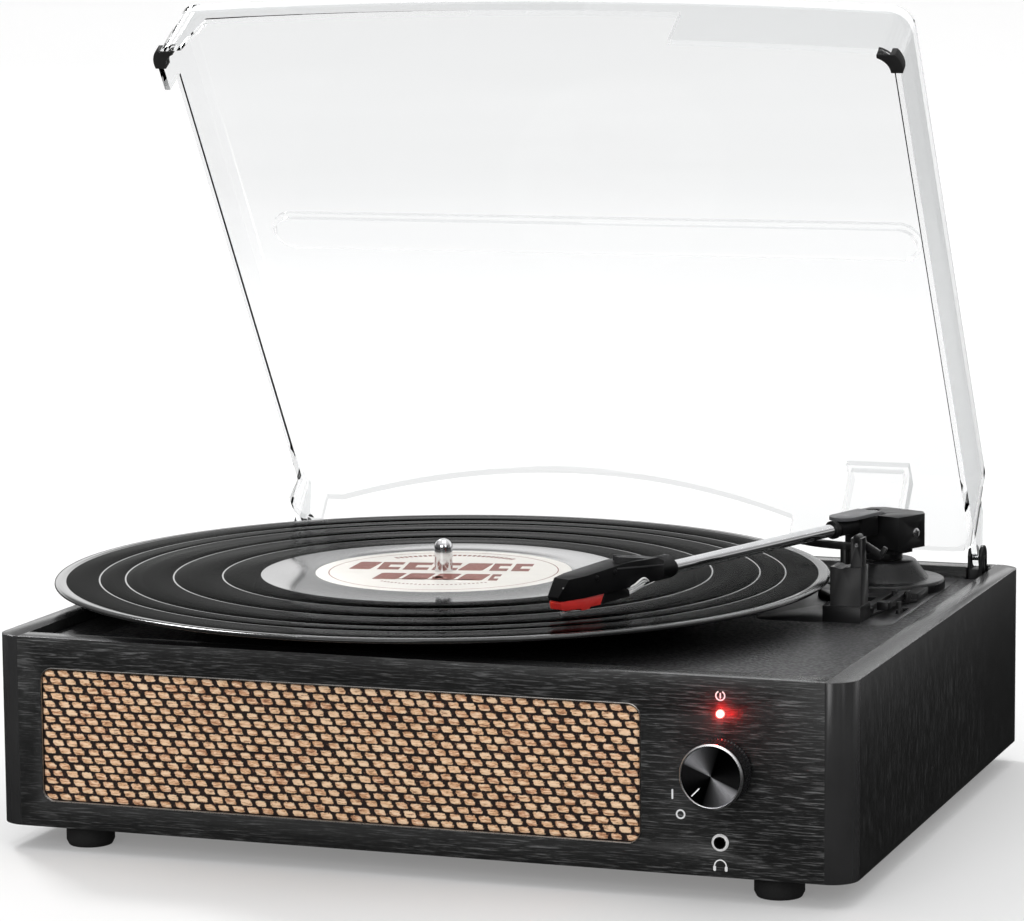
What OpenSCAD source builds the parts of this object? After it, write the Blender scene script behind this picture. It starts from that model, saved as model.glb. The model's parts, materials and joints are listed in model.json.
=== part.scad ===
// Portable record player with a hinged clear dust cover, built in speakers,
// a belt driven platter and a lifting tonearm.
// The origin is on the floor under the middle of the cabinet, +Z up, front at -Y.
// The dust cover is drawn closed and then swung open; every other piece is drawn in place.

/* [Cabinet] */
// Width of the cabinet, left to right
cabinet_w = 328; // [318:1:340]
// Depth of the cabinet, front to rear
cabinet_d = 267; // [262:1:280]
// Height of the cabinet without its feet
cabinet_h = 71; // [68:1:84]
// Radius of the upright corners
corner_r = 10; // [6:1:14]
// Thickness of the cabinet walls, which show on top as the rim
wall_t = 10; // [9:1:12]
// Drop from the rim down to the top plate
plate_drop = 4; // [3:0.5:5]
// Height of the feet
foot_h = 9; // [7:1:12]
// Diameter of the feet
foot_d = 18; // [14:1:24]

/* [Front] */
// Width of the speaker grille
grille_w = 232.6; // [200:0.2:236]
// Height of the speaker grille
grille_h = 50.4; // [46:0.2:52]
// Left to right place of the middle of the grille
grille_x = -28.7; // [-32:0.1:-20]
// Depth of the middle of the grille under the rim
grille_down = 36.3; // [34:0.1:38]
// Left to right place of the knob, the light and the headphone socket
control_x = 116.6; // [112:0.1:124]
// Diameter of the volume knob
knob_d = 23.6; // [18:0.2:26]
// Length that the knob stands out
knob_l = 12; // [8:0.5:16]
// Depth of the knob's axis under the rim
knob_down = 33; // [30:0.5:36]
// Depth of the power light under the rim
led_down = 13; // [11:0.5:15]
// Depth of the headphone socket under the rim
jack_down = 58.6; // [56:0.2:60]

/* [Platter and record] */
// Diameter of the platter
platter_d = 196; // [180:1:210]
// Diameter of the record
record_d = 301.6; // [300:0.1:302]
// Thickness of the record at its label and its edge
record_t = 1.8; // [1.4:0.1:2.2]
// Height of the top of the record over the rim
record_top = 9.2; // [8.8:0.1:9.6]
// Left to right place of the spindle
spindle_x = -36.4; // [-38:0.1:-35]
// Diameter of the spindle
spindle_d = 7.1; // [7:0.05:7.15]

/* [Tonearm] */
// Left to right place of the arm's upright axis
arm_x = 117; // [116:0.5:118]
// Front to rear place of the arm's upright axis
arm_y = 90; // [89:0.5:91]
// Length from the upright axis to the needle
arm_l = 188.5; // [188:0.5:189]
// Angle of the arm from straight forward, towards the record
arm_angle = 23.9; // [20:0.1:30]
// Height of the tube's axis over the rim, at the upright axis
arm_h = 23.6; // [23.4:0.1:23.8]
// Slope of the tube down to the needle
arm_slope = 1.9; // [1.8:0.05:2]
// Diameter of the tube
tube_d = 5; // [4:0.5:5]

/* [Dust cover] */
// Half the width of the dust cover
lid_half_w = 149; // [148:0.5:150]
// Thickness of the dust cover's walls
lid_t = 2.3; // [2:0.1:2.5]
// Height of the closed dust cover's outer face over the rim
lid_top = 32.5; // [32.5:0.5:40]
// Angle that the dust cover stands open
lid_open = 56.6; // [30:0.1:70]

/* [Hidden] */
$fn = 64;

// shared heights and faces
rim_z = foot_h + cabinet_h;
plate_z = rim_z - plate_drop;
plate_t = 3;
base_t = 4;
front_y = -cabinet_d / 2;
rear_y = cabinet_d / 2;
inner_w = cabinet_w - 2 * wall_t;
inner_d = cabinet_d - 2 * wall_t;
gap = 0.35;
run = 0.05;
cut = 1;

// platter, drive and record
mat_t = 1.8;
record_r = record_d / 2;
record_z = rim_z + record_top - record_t;
mat_z = record_z - mat_t;
platter_r = platter_d / 2;
platter_low = plate_z + 0.8;
platter_skin = 2.2;
spindle_r = spindle_d / 2;
label_r = 50;
belt_ring_r = 60;
pulley_r = 5;
pulley_reach = 76;
pulley_turn = 215;
pulley_x = spindle_x + pulley_reach * cos(pulley_turn);
pulley_y = pulley_reach * sin(pulley_turn);
belt_z = plate_z + 2.5;
belt_h = 3;

// tonearm
pivot_z = rim_z + arm_h;
lift_back = 4.5;
lift_drop = 5.1;
lifter_r = 38;
housing_front = 7;
housing_rear = 14;
housing_half = 13.5;
housing_chamfer = 4;
housing_top = 2.2;
housing_low = 11.1;
housing_t = 1.8;
collar_top = rim_z + 7.5;
pin_r = 1.5;

// dust cover, drawn closed
hinge_y = 124.5;
hinge_z = rim_z + 4.5;
hinge_mid = lid_half_w - lid_t / 2;
hinge_pin_r = 1.5;
hinge_eye_r = 4;
ear_t = 1.5;
lid_low = rim_z + 1;
lid_high = rim_z + lid_top;
lid_front = -128;
lid_bow = 4.5;
lid_rear_low = 119.5;
lid_rear_high = 109.5;
lid_corner = 9;
lid_edge = 3;
slab = 0.4;

// front controls
knob_r = knob_d / 2;
grille_deep = 3;
speaker_reach = 66;
speaker_r = 20.5;

// a plate with upright rounded corners, centred, standing on z = 0
module round_plate(w, d, h, r) {
    linear_extrude(h) round_rect(w, d, r);
}

// a rectangle with round corners
module round_rect(w, d, r) {
    union() {
        square([w - 2 * r, d], center = true);
        square([w, d - 2 * r], center = true);
        for (sx = [-1, 1], sy = [-1, 1]) {
            translate([sx * (w / 2 - r), sy * (d / 2 - r)]) circle(r);
        }
    }
}

// children on the front face: x across, y up from the rim, z out of the face
module on_front(x, down) {
    translate([x, front_y, rim_z - down]) rotate([90, 0, 0]) children();
}

// children on the rear face: z out of the face
module on_rear(x, down) {
    translate([x, rear_y, rim_z - down]) rotate([-90, 0, 0]) children();
}

foot_x = 133.5;
foot_y = 117.5;
module at_feet() {
    for (sx = [-1, 1], sy = [-1, 1]) {
        translate([sx * foot_x, sy * foot_y, 0]) children();
    }
}

panel_screw_x = [-148, 0, 148];
panel_screw_y = inner_d / 2 - 6;
module at_panel_screws() {
    for (x = panel_screw_x, sy = [-1, 1]) {
        translate([x, sy * panel_screw_y, foot_h]) children();
    }
}

// ---- cabinet ----

rear_panel_x = -70;
rear_panel_w = 84;
rear_panel_h = 30;
rear_panel_down = 40;
rear_panel_t = 3;
slot_w = 8;

// the cabinet's outer shell as one body, before it is cut into its boards
module cabinet_shell() {
    difference() {
        translate([0, 0, foot_h]) round_plate(cabinet_w, cabinet_d, cabinet_h, corner_r);
        linear_extrude_z(foot_h - cut, rim_z + cut) square([inner_w, inner_d], center = true);
        // rabbet for the base panel
        linear_extrude_z(foot_h - cut, foot_h + base_t) {
            square([inner_w + 4, inner_d + 4], center = true);
        }
        hinge_slots();
    }
}

// slots in the rear rim, the rear posts and the top plate for the hinge brackets
module hinge_slots() {
    for (s = [-1, 1]) {
        translate([s * hinge_mid - slot_w / 2, 117.5, hinge_z - 16]) cube([slot_w, 13, 30]);
    }
}

module cabinet_front() {
    color("#161616")
    difference() {
        intersection() {
            cabinet_shell();
            translate([-inner_w / 2, front_y - cut, 0]) cube([inner_w, wall_t + cut, 200]);
        }
        // grille recess and the holes for the two speakers
        on_front(grille_x, grille_down) {
            translate([0, 0, -grille_deep]) round_plate(grille_w, grille_h, 10, 5);
            for (s = [-1, 1]) {
                translate([s * speaker_reach, 0, -20]) cylinder(h = 30, r = speaker_r);
            }
        }
        // knob shaft, light and headphone socket holes
        on_front(control_x, knob_down) translate([0, 0, -20]) cylinder(h = 30, r = 4);
        on_front(control_x, led_down) translate([0, 0, -20]) cylinder(h = 30, r = 1.6);
        on_front(control_x, jack_down) translate([0, 0, -20]) cylinder(h = 30, r = 2.9);
    }
}

module cabinet_rear() {
    color("#161616")
    difference() {
        intersection() {
            cabinet_shell();
            translate([-inner_w / 2, rear_y - wall_t, 0]) cube([inner_w, wall_t + cut, 200]);
        }
        // window for the rear socket panel
        on_rear(rear_panel_x, rear_panel_down) {
            translate([0, 0, -20]) linear_extrude(30) {
                square([rear_panel_w - 8, rear_panel_h - 8], center = true);
            }
            translate([0, 0, -rear_panel_t]) linear_extrude(10) {
                square([rear_panel_w, rear_panel_h], center = true);
            }
        }
    }
}

module cabinet_sides() {
    color("#161616")
    difference() {
        cabinet_shell();
        translate([-inner_w / 2, -cabinet_d, 0]) cube([inner_w, 2 * cabinet_d, 200]);
    }
}

// six posts between the base panel and the top plate
post_w = 12;
module corner_blocks() {
    color("#2a2520")
    difference() {
        at_panel_screws() translate([-post_w / 2, -post_w / 2, base_t]) {
            cube([post_w, post_w, plate_z - plate_t - foot_h - base_t]);
        }
        at_panel_screws() translate([0, 0, -cut]) cylinder(h = 20, r = 1.6, $fn = 24);
        hinge_slots();
    }
}

module base_panel() {
    color("#1d1c1b")
    difference() {
        translate([0, 0, foot_h]) linear_extrude(base_t) {
            square([inner_w + 3.6, inner_d + 3.6], center = true);
        }
        at_panel_screws() translate([0, 0, -cut]) cylinder(h = 9, r = 1.6, $fn = 24);
        at_panel_screws() translate([0, 0, -cut]) cylinder(h = cut + 1.7, r = 3.1, $fn = 24);
        at_feet() translate([0, 0, foot_h - cut]) cylinder(h = 9, r = 1.6, $fn = 24);
        // vent slots under the circuit board
        for (i = [0:5]) {
            translate([60 + i * 9, -40, foot_h - cut]) cube([3, 60, 9]);
        }
    }
}

module top_plate() {
    color("#1a1a1a")
    difference() {
        translate([0, 0, plate_z - plate_t]) round_plate(inner_w - 0.4, inner_d - 0.4, plate_t, 2);
        translate([spindle_x, 0, plate_z - 9]) cylinder(h = 12, r = 8.2);
        translate([pulley_x, pulley_y, plate_z - 9]) cylinder(h = 12, r = 7);
        translate([0, 0, plate_z - arm_plate_t]) arm_plate_outline(0.3, 20);
        arm_holes();
        hinge_slots();
    }
}

arm_plate_w = 54;
arm_plate_d = 115.5;
arm_plate_t = 1.6;
module arm_plate_outline(grow, h) {
    translate([115.3, 61.2, 0]) {
        round_plate(arm_plate_w + 2 * grow, arm_plate_d + 2 * grow, h, 6 + grow);
    }
}

module grille_cloth() {
    color("#c79a6f")
    on_front(grille_x, grille_down) {
        translate([0, 0, -1.6]) round_plate(grille_w - 1.2, grille_h - 1.2, 1, 4.6);
    }
}

module grille_frame() {
    color("#2a2624")
    on_front(grille_x, grille_down)
    difference() {
        translate([0, 0, -grille_deep]) round_plate(grille_w - 1, grille_h - 1, 1.4, 4.7);
        for (s = [-1, 1]) {
            translate([s * speaker_reach, 0, -9]) cylinder(h = 30, r = speaker_r);
        }
    }
}

module at_speakers() {
    for (s = [-1, 1]) {
        on_front(grille_x + s * speaker_reach, grille_down) children();
    }
}

module speaker_frames() {
    color("#33363a")
    at_speakers()
    rotate_extrude() {
        polygon([
            [16, -31], [18, -31], [24, -wall_t - 1.6], [25, -wall_t - 1.6],
            [25, -wall_t], [20, -wall_t], [19.4, -wall_t - 1.6], [17, -29], [16, -29]
        ]);
    }
}

module speaker_cones() {
    color("#111111")
    at_speakers()
    rotate_extrude() {
        polygon([
            [0, -18], [6, -19], [16, -wall_t - 2], [19.2, -wall_t - 0.2],
            [19.2, -wall_t + 0.6], [15.6, -wall_t - 0.8], [6, -17.6], [0, -16.4]
        ]);
    }
}

module speaker_magnets() {
    color("#55585c")
    at_speakers()
    rotate_extrude() {
        polygon([[0, -44], [15, -44], [15, -33.2], [18, -33.2], [18, -31], [7, -31], [7, -22], [0, -22]]);
    }
}

module power_led() {
    color("#ff3020")
    on_front(control_x, led_down) {
        translate([0, 0, -12]) cylinder(h = 12.4, r = 1.5, $fn = 32);
        translate([0, 0, 0.4]) intersection() {
            sphere(r = 1.5, $fn = 32);
            cylinder(h = 2, r = 2, $fn = 32);
        }
    }
}

jack_bore_r = 1.8;
jack_bore_l = 14;
module headphone_jack() {
    color("#b9bcc0")
    on_front(control_x, jack_down)
    rotate_extrude() {
        polygon([
            [jack_bore_r, 0.9], [2.6, 0.9], [3.1, 0.4], [3.1, 0], [2.8, 0], [2.8, -wall_t],
            [4.5, -wall_t], [4.5, -15], [0, -15], [0, 0.9 - jack_bore_l], [jack_bore_r, 0.9 - jack_bore_l]
        ]);
    }
}

board_x = 106;
board_y = -86;
board_z = foot_h + base_t + 6;
module circuit_board() {
    color("#1f5a34")
    difference() {
        translate([board_x - 32, board_y - 24, board_z]) cube([64, 48, 1.6]);
        for (sx = [-1, 1], sy = [-1, 1]) {
            translate([board_x + sx * 28, board_y + sy * 20, board_z - cut]) {
                cylinder(h = 5, r = 1.6, $fn = 24);
            }
        }
    }
}

module board_parts() {
    color("#2c2f6b")
    translate([board_x, board_y, board_z + 1.6]) {
        for (i = [0:3]) {
            translate([-22 + i * 12, 12, 0]) cylinder(h = 11, r = 4, $fn = 32);
        }
        translate([-24, -8, 0]) cube([16, 9, 3]);
        translate([-2, -6, 0]) cube([7, 7, 2]);
        // heat sink fins on one foot
        translate([10, -9, 0]) cube([18, 12, 2]);
        for (i = [0:4]) {
            translate([10 + i * 4, -9, 2]) cube([2, 12, 12]);
        }
    }
}

pot_back = 22;
module potentiometer() {
    color("#8f9296")
    on_front(control_x, knob_down)
    difference() {
        union() {
            translate([0, 0, -pot_back]) cylinder(h = 7.6, r = 8.5);
            translate([0, 0, -wall_t - 4.4]) cylinder(h = 4.4, r = 3.9);
        }
        translate([0, 0, 1.5 - pot_back]) cylinder(h = 30, r = 3 + run);
    }
}

rca_reach = 9;
rca_from = -22;
aux_at = 8;
dc_at = 26;
dc_bore_r = 2.75;
module rear_panel() {
    color("#202020")
    on_rear(rear_panel_x, rear_panel_down)
    difference() {
        translate([0, 0, -rear_panel_t]) linear_extrude(rear_panel_t - 0.5) {
            square([rear_panel_w - 0.6, rear_panel_h - 0.6], center = true);
        }
        for (s = [-1, 1]) {
            translate([rca_from + s * rca_reach, 0, -9]) cylinder(h = 20, r = 4.2);
        }
        translate([aux_at, 0, -9]) cylinder(h = 20, r = 3.05);
        translate([dc_at, 0, -9]) cylinder(h = 20, r = 4.55);
    }
}

rca_out = 9;
module rca_sockets() {
    color("#d6d0c0")
    on_rear(rear_panel_x, rear_panel_down) {
        for (s = [-1, 1]) {
            translate([rca_from + s * rca_reach, 0, 0]) rotate_extrude() {
                polygon([
                    [1.6, rca_out], [4.15, rca_out], [4.15, 0], [5.2, 0], [5.2, -0.5], [4, -0.5],
                    [4, -3], [6, -3], [6, -11], [0, -11], [0, -2], [1.6, -2]
                ]);
            }
        }
    }
}

module rear_socket(at, bore_r, out_r, depth) {
    on_rear(rear_panel_x + at, rear_panel_down)
    rotate_extrude() {
        polygon([
            [bore_r, 0.6], [out_r, 0.6], [out_r, -3], [out_r + 1.5, -3], [out_r + 1.5, -depth - 2],
            [0, -depth - 2], [0, 0.6 - depth], [bore_r, 0.6 - depth]
        ]);
    }
}

module aux_socket() {
    color("#303030") rear_socket(aux_at, jack_bore_r, 3, jack_bore_l);
}

module dc_socket() {
    color("#262626") rear_socket(dc_at, dc_bore_r, 4.5, 10);
}

module feet() {
    color("#0d0d0d")
    at_feet()
    difference() {
        union() {
            cylinder(h = 2, r1 = foot_d / 2 - 1, r2 = foot_d / 2);
            translate([0, 0, 2]) cylinder(h = foot_h - 2, r = foot_d / 2);
        }
        translate([0, 0, -cut]) cylinder(h = 4.5 + cut, r = 4);
        translate([0, 0, -cut]) cylinder(h = 20, r = 1.6, $fn = 24);
    }
}

// ten identical screws: four hold the feet and six the base panel
module case_screws() {
    color("#9a9da1") {
        at_feet() translate([0, 0, 2.9]) case_screw();
        at_panel_screws() case_screw();
    }
}

module case_screw() {
    cylinder(h = 1.6, r = 2.9, $fn = 24);
    translate([0, 0, 1.6]) cylinder(h = 8, r = 1.55, $fn = 24);
}

// ---- hinges ----

module hinge_brackets() {
    color("#0f0f0f")
    for (s = [-1, 1]) {
        translate([s * hinge_mid, hinge_y, hinge_z]) difference() {
            union() {
                for (e = [-1, 1]) {
                    translate([e * (lid_t / 2 + gap + ear_t / 2), 0, 0]) {
                        rotate([0, 90, 0]) cylinder(h = ear_t, r = 4.6, center = true);
                        translate([0, 0, -8]) cube([ear_t, 9.2, 16], center = true);
                    }
                }
                // web under the cover's eye
                translate([0, 0, -10.4]) cube([lid_t + 2 * gap + 2 * ear_t, 9.2, 11.2], center = true);
            }
            rotate([0, 90, 0]) cylinder(h = 20, r = hinge_pin_r, center = true);
        }
    }
}

module hinge_pins() {
    color("#c9ccd0")
    for (s = [-1, 1]) {
        translate([s * hinge_mid, hinge_y, hinge_z]) rotate([0, 90, 0]) {
            cylinder(h = lid_t + 2 * gap + 2 * ear_t, r = hinge_pin_r, center = true);
        }
    }
}

// ---- drive ----

module bearing_housing() {
    color("#b5a05a")
    translate([spindle_x, 0, 0])
    difference() {
        union() {
            translate([0, 0, plate_z - 26]) cylinder(h = 25.6, r = 8);
            translate([0, 0, plate_z - plate_t - 3]) cylinder(h = 3, r = 16);
        }
        translate([0, 0, plate_z - 24]) cylinder(h = 30, r = spindle_r + run);
    }
}

motor_r = 14;
motor_h = 20;
motor_screw_reach = 11;
motor_top = plate_z - plate_t;
module at_motor_screws() {
    for (a = [30, 150, 270]) {
        translate([pulley_x + motor_screw_reach * cos(a), pulley_y + motor_screw_reach * sin(a), 0]) {
            children();
        }
    }
}

module drive_motor() {
    color("#9ea2a6")
    difference() {
        union() {
            translate([pulley_x, pulley_y, motor_top - motor_h]) cylinder(h = motor_h, r = motor_r);
            translate([pulley_x, pulley_y, motor_top - motor_h - 3]) cylinder(h = 3, r = 4);
        }
        translate([pulley_x, pulley_y, motor_top - motor_h - 1]) cylinder(h = 60, r = 1 + run);
        at_motor_screws() translate([0, 0, motor_top - 3]) cylinder(h = 9, r = 1.1, $fn = 24);
    }
}

module motor_screws() {
    color("#c2c5c9")
    at_motor_screws() translate([0, 0, motor_top - 2.8]) cylinder(h = 2.6, r = 1, $fn = 24);
}

module drive_belt() {
    color("#101010")
    translate([0, 0, belt_z])
    linear_extrude(belt_h)
    difference() {
        belt_outline(1.1);
        belt_outline(gap);
    }
}

module belt_outline(grow) {
    hull() {
        translate([spindle_x, 0]) circle(belt_ring_r + grow, $fn = 96);
        translate([pulley_x, pulley_y]) circle(pulley_r + grow, $fn = 32);
    }
}

module motor_pulley() {
    color("#d0b050")
    translate([pulley_x, pulley_y, 0]) {
        translate([0, 0, platter_low]) cylinder(h = 5.2, r = pulley_r);
        translate([0, 0, motor_top - motor_h]) cylinder(h = motor_h + 8, r = 1);
    }
}

module platter() {
    color("#202224")
    translate([spindle_x, 0, 0])
    rotate_extrude($fn = 128) {
        polygon([
            [spindle_r, platter_low], [9, platter_low], [12, mat_z - platter_skin],
            [belt_ring_r - 4, mat_z - platter_skin], [belt_ring_r - 4, platter_low],
            [belt_ring_r, platter_low], [belt_ring_r, mat_z - platter_skin],
            [platter_r - 5, mat_z - platter_skin], [platter_r - 4, platter_low],
            [platter_r - 1, platter_low], [platter_r, platter_low + 1],
            [platter_r, mat_z - 1], [platter_r - 1, mat_z], [spindle_r, mat_z]
        ]);
    }
}

module slip_mat() {
    color("#2b2b2c")
    translate([spindle_x, 0, mat_z])
    difference() {
        cylinder(h = mat_t, r = platter_r - 1.5, $fn = 128);
        translate([0, 0, -cut]) cylinder(h = 9, r = spindle_r + 0.2);
    }
}

spindle_top = rim_z + 22;
module spindle() {
    color("#d7d9dc")
    translate([spindle_x, 0, 0]) {
        translate([0, 0, plate_z - 23.5]) {
            cylinder(h = spindle_top - spindle_r - plate_z + 23.5, r = spindle_r);
        }
        translate([0, 0, spindle_top - spindle_r]) intersection() {
            sphere(r = spindle_r);
            cylinder(h = 9, r = 9);
        }
    }
}

module record() {
    color("#0b0b0c")
    translate([spindle_x, 0, record_z])
    rotate_extrude($fn = 180) {
        polygon([
            [spindle_r + 0.08, 0], [label_r + 2, 0], [label_r + 4, 0.25], [record_r - 6, 0.25],
            [record_r - 4, 0], [record_r - 1, 0], [record_r, 0.7], [record_r, record_t - 0.7],
            [record_r - 1, record_t], [record_r - 4, record_t], [record_r - 6, record_t - 0.25],
            [label_r + 4, record_t - 0.25], [label_r + 2, record_t], [label_r, record_t],
            [label_r, record_t - 0.2], [spindle_r + 0.08, record_t - 0.2]
        ]);
    }
}

module record_label() {
    color("#efe9dc")
    translate([spindle_x, 0, record_z + record_t - 0.2])
    difference() {
        cylinder(h = 0.2, r = label_r, $fn = 128);
        translate([0, 0, -cut]) cylinder(h = 9, r = spindle_r + 0.08);
    }
}

// ---- volume knob ----

knob_gap = 0.6;
module volume_knob() {
    color("#17181a")
    on_front(control_x, knob_down)
    difference() {
        rotate_extrude() {
            polygon([
                [0, knob_gap + 2], [knob_r - 2, knob_gap], [knob_r - 0.4, knob_gap],
                [knob_r, knob_gap + 1], [knob_r - 0.3, knob_l - 1.4], [knob_r - 1.6, knob_l - 1.4],
                [knob_r - 1.6, knob_l - 0.3], [0, knob_l - 0.3]
            ]);
        }
        translate([0, 0, -cut]) cylinder(h = knob_l - 3, r = 3);
    }
}

module knob_ring() {
    color("#d5d7da")
    on_front(control_x, knob_down)
    rotate_extrude() {
        polygon([
            [knob_r - 1.6, knob_l - 1.4], [knob_r - 0.3, knob_l - 1.4], [knob_r - 0.3, knob_l - 1],
            [knob_r - 1.3, knob_l], [knob_r - 1.6, knob_l]
        ]);
    }
}

module volume_shaft() {
    color("#c4c7ca")
    on_front(control_x, knob_down) {
        translate([0, 0, 2 - pot_back]) cylinder(h = pot_back - 2 + knob_l - 4, r = 3);
    }
}

// ---- tonearm, fixed pieces ----

module arm_plate() {
    color("#141414")
    difference() {
        translate([0, 0, plate_z - arm_plate_t]) arm_plate_outline(0, arm_plate_t);
        arm_holes();
    }
}

// holes down through the plates: swing shaft, lifter post and the slots of the two small levers
module arm_holes() {
    translate([arm_x, arm_y, plate_z - 9]) cylinder(h = 12, r = 3.4);
    translate([lifter_post_x, lifter_post_y, plate_z - 9]) cylinder(h = 12, r = 2.4);
    translate([stop_x - 0.3, small_lever_y - 1, plate_z - 9]) cube([2.4, 14, 20]);
    translate([speed_x + 0.9, small_lever_y - 0.6, plate_z - 9]) cube([2.6, 15.6, 20]);
}

module arm_base() {
    color("#181818")
    union() {
        arm_base_body();
        // two ears and a pin for the cue lever
        for (x = [cue_x - 1.8, cue_x + 3.6]) {
            translate([x, cue_y - 2, plate_z]) cube([1.3, 4, 5.2]);
        }
        translate([cue_x - 1.8, cue_y, cue_z]) rotate([0, 90, 0]) cylinder(h = 6.7, r = 0.65);
    }
}

module arm_base_body() {
    difference() {
        translate([0, 0, plate_z]) linear_extrude(3.2) polygon([
            [113.5, 20.4], [130.4, 20.4], [131, 24], [135, 50], [139, 58], [139, 78],
            [98, 78], [98, 62], [108, 46], [113.5, 34]
        ]);
        translate([arm_x, arm_y, plate_z - cut]) cylinder(h = 9, r = 25.4);
        translate([lifter_post_x, lifter_post_y, plate_z - cut]) cylinder(h = 9, r = 2 + run);
        // wells for the cue lever and the two small levers
        translate([129, cue_y - 31, plate_z + 1]) cube([12, 36, 9]);
        translate([speed_x - 2, small_lever_y - 1, plate_z + 1.2]) cube([9, 16, 9]);
        arm_holes();
    }
}

// round base of the arm: a flange and a tapered collar in one moulding
module pivot_base() {
    color("#101010")
    translate([arm_x, arm_y, plate_z])
    difference() {
        rotate_extrude($fn = 96) polygon([
            [0, 0], [25, 0], [25, 3.2], [24.2, plate_drop], [18.6, plate_drop],
            [13.4, collar_top - plate_z - 0.5], [12.6, collar_top - plate_z], [0, collar_top - plate_z]
        ]);
        translate([0, 0, -cut]) cylinder(h = 19, r = 3 + run);
    }
}

module arm_rest() {
    color("#101010")
    difference() {
        union() {
            translate([115.4, 5, plate_z]) cube([14.8, 15, 6.2]);
            translate([118, 6.4, plate_z + 6.2]) cube([12, 11, 14.8]);
            translate([125.4, 8.4, plate_z + 21]) cube([4.6, 6, 11]);
            // domed top of the horn
            translate([127.7, 8.4, plate_z + 32]) rotate([-90, 0, 0]) cylinder(h = 6, r = 1.2);
        }
        // shallow cradle for the tube
        translate([121.8, 0, rim_z + 19.6]) rotate([-90, 0, 0]) cylinder(h = 40, r = 3.2);
        // hole for the clip's pin
        translate([127.7, 0, clip_z]) rotate([-90, 0, 0]) cylinder(h = 40, r = 0.8);
    }
}

// ---- tonearm, moving pieces ----

// children in the arm's level frame: x from the upright axis to the needle, z up
module arm_level() {
    translate([arm_x, arm_y, pivot_z]) rotate([0, 0, -90 - arm_angle]) children();
}

// children in the tube's own frame, which slopes down to the needle
module arm_tilted() {
    arm_level() rotate([0, arm_slope, 0]) children();
}

// a side profile in x and z, spread evenly over y
module side_profile(width, points) {
    rotate([90, 0, 0]) linear_extrude(width, center = true) polygon(points);
}

yoke_half = 9.4;
module arm_yoke() {
    color("#151515")
    difference() {
        union() {
            translate([arm_x, arm_y, collar_top + 0.3]) cylinder(h = 2.6, r = 8);
            arm_level() {
                translate([-7.4, -yoke_half, collar_top + 2.7 - pivot_z]) cube([11.4, 2 * yoke_half, 2.2]);
                for (s = [-1, 1]) {
                    translate([-7.4, s * (yoke_half - 1) - 1, collar_top + 4.5 - pivot_z]) cube([6.4, 2, 10]);
                }
            }
        }
        translate([arm_x, arm_y, rim_z]) cylinder(h = 10.4, r = 3);
        arm_level() {
            translate([-lift_back, 0, -lift_drop]) rotate([90, 0, 0]) {
                cylinder(h = 40, r = pin_r, center = true);
            }
        }
    }
}

module swing_shaft() {
    color("#c8cacd")
    translate([arm_x, arm_y, plate_z - 16]) cylinder(h = plate_drop + 16 + 10.4, r = 3);
}

module lift_pins() {
    color("#c8cacd")
    arm_level() translate([-lift_back, 0, -lift_drop]) rotate([90, 0, 0]) {
        for (s = [-1, 1]) {
            translate([0, 0, s * (housing_half - 3)]) cylinder(h = 6, r = pin_r, center = true);
        }
    }
}

module arm_housing() {
    color("#121314")
    arm_level()
    difference() {
        linear_extrude_z(-housing_low, housing_top) housing_outline(0);
        linear_extrude_z(-housing_low - cut, housing_top - housing_t) housing_outline(housing_t);
        translate([-lift_back, 0, -lift_drop]) rotate([90, 0, 0]) {
            cylinder(h = 40, r = pin_r + run, center = true);
        }
        // the sleeve's seat in the front wall
        rotate([0, 90 + arm_slope, 0]) cylinder(h = 30, r = sleeve_r);
        // round screw recess in the top
        translate([-3.5, -8, housing_top - 0.8]) cylinder(h = 5, r = 3.2);
    }
}

module linear_extrude_z(low, high) {
    translate([0, 0, low]) linear_extrude(high - low) children();
}

// plan of the housing, drawn in by an inset, with two chamfered rear corners
module housing_outline(inset) {
    front = housing_front - inset;
    rear = housing_rear - inset;
    half = housing_half - inset;
    c = housing_chamfer - 0.4 * inset;
    polygon([
        [front, -half], [front, half], [c - rear, half],
        [-rear, half - c], [-rear, c - half], [c - rear, -half]
    ]);
}

sleeve_end = 29;
sleeve_r = 3.2;
sleeve_flat = sleeve_r + 0.1;
module arm_sleeve() {
    color("#0c0c0c")
    arm_tilted()
    difference() {
        union() {
            rotate([0, 90, 0]) translate([0, 0, 1]) cylinder(h = sleeve_end - 1, r = sleeve_r);
            // front block that carries the cap
            side_profile(8, [[7.8, -5.2], [18, -4.2], [18, sleeve_flat], [7.8, sleeve_flat]]);
        }
        rotate([0, 90, 0]) cylinder(h = 60, r = tube_d / 2);
    }
}

module sleeve_cap() {
    color("#6a6d70")
    arm_tilted()
    translate([8.2, 0, sleeve_flat]) linear_extrude(1.3) {
        translate([0, -6]) square([16, 12]);
        translate([16, 0]) circle(6);
    }
}

module arm_tube() {
    color("#dfe1e4")
    arm_tilted()
    rotate([0, 90, 0])
    difference() {
        translate([0, 0, 3]) cylinder(h = shell_x + 6 - 3, r = tube_d / 2);
        translate([0, 0, 2]) cylinder(h = shell_x + 20, r = tube_d / 2 - 0.6);
    }
}

// headshell: collar, body with a raised ridge, tapering nose
shell_x = 130;
module headshell() {
    color("#0a0a0a")
    arm_tilted()
    difference() {
        union() {
            rotate([0, 90, 0]) translate([-1, 0, shell_x]) cylinder(h = 8, r = 4.6);
            intersection() {
                side_profile(15, [
                    [137, -2.2], [137, 4.6], [141, 6.4], [158, 7.2], [188, 5.3], [193, -0.7], [192.2, -2.2]
                ]);
                nose_plan(5.4);
            }
        }
        rotate([0, 90, 0]) translate([0, 0, 100]) cylinder(h = shell_x + 6 - 100, r = tube_d / 2);
    }
}

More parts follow.
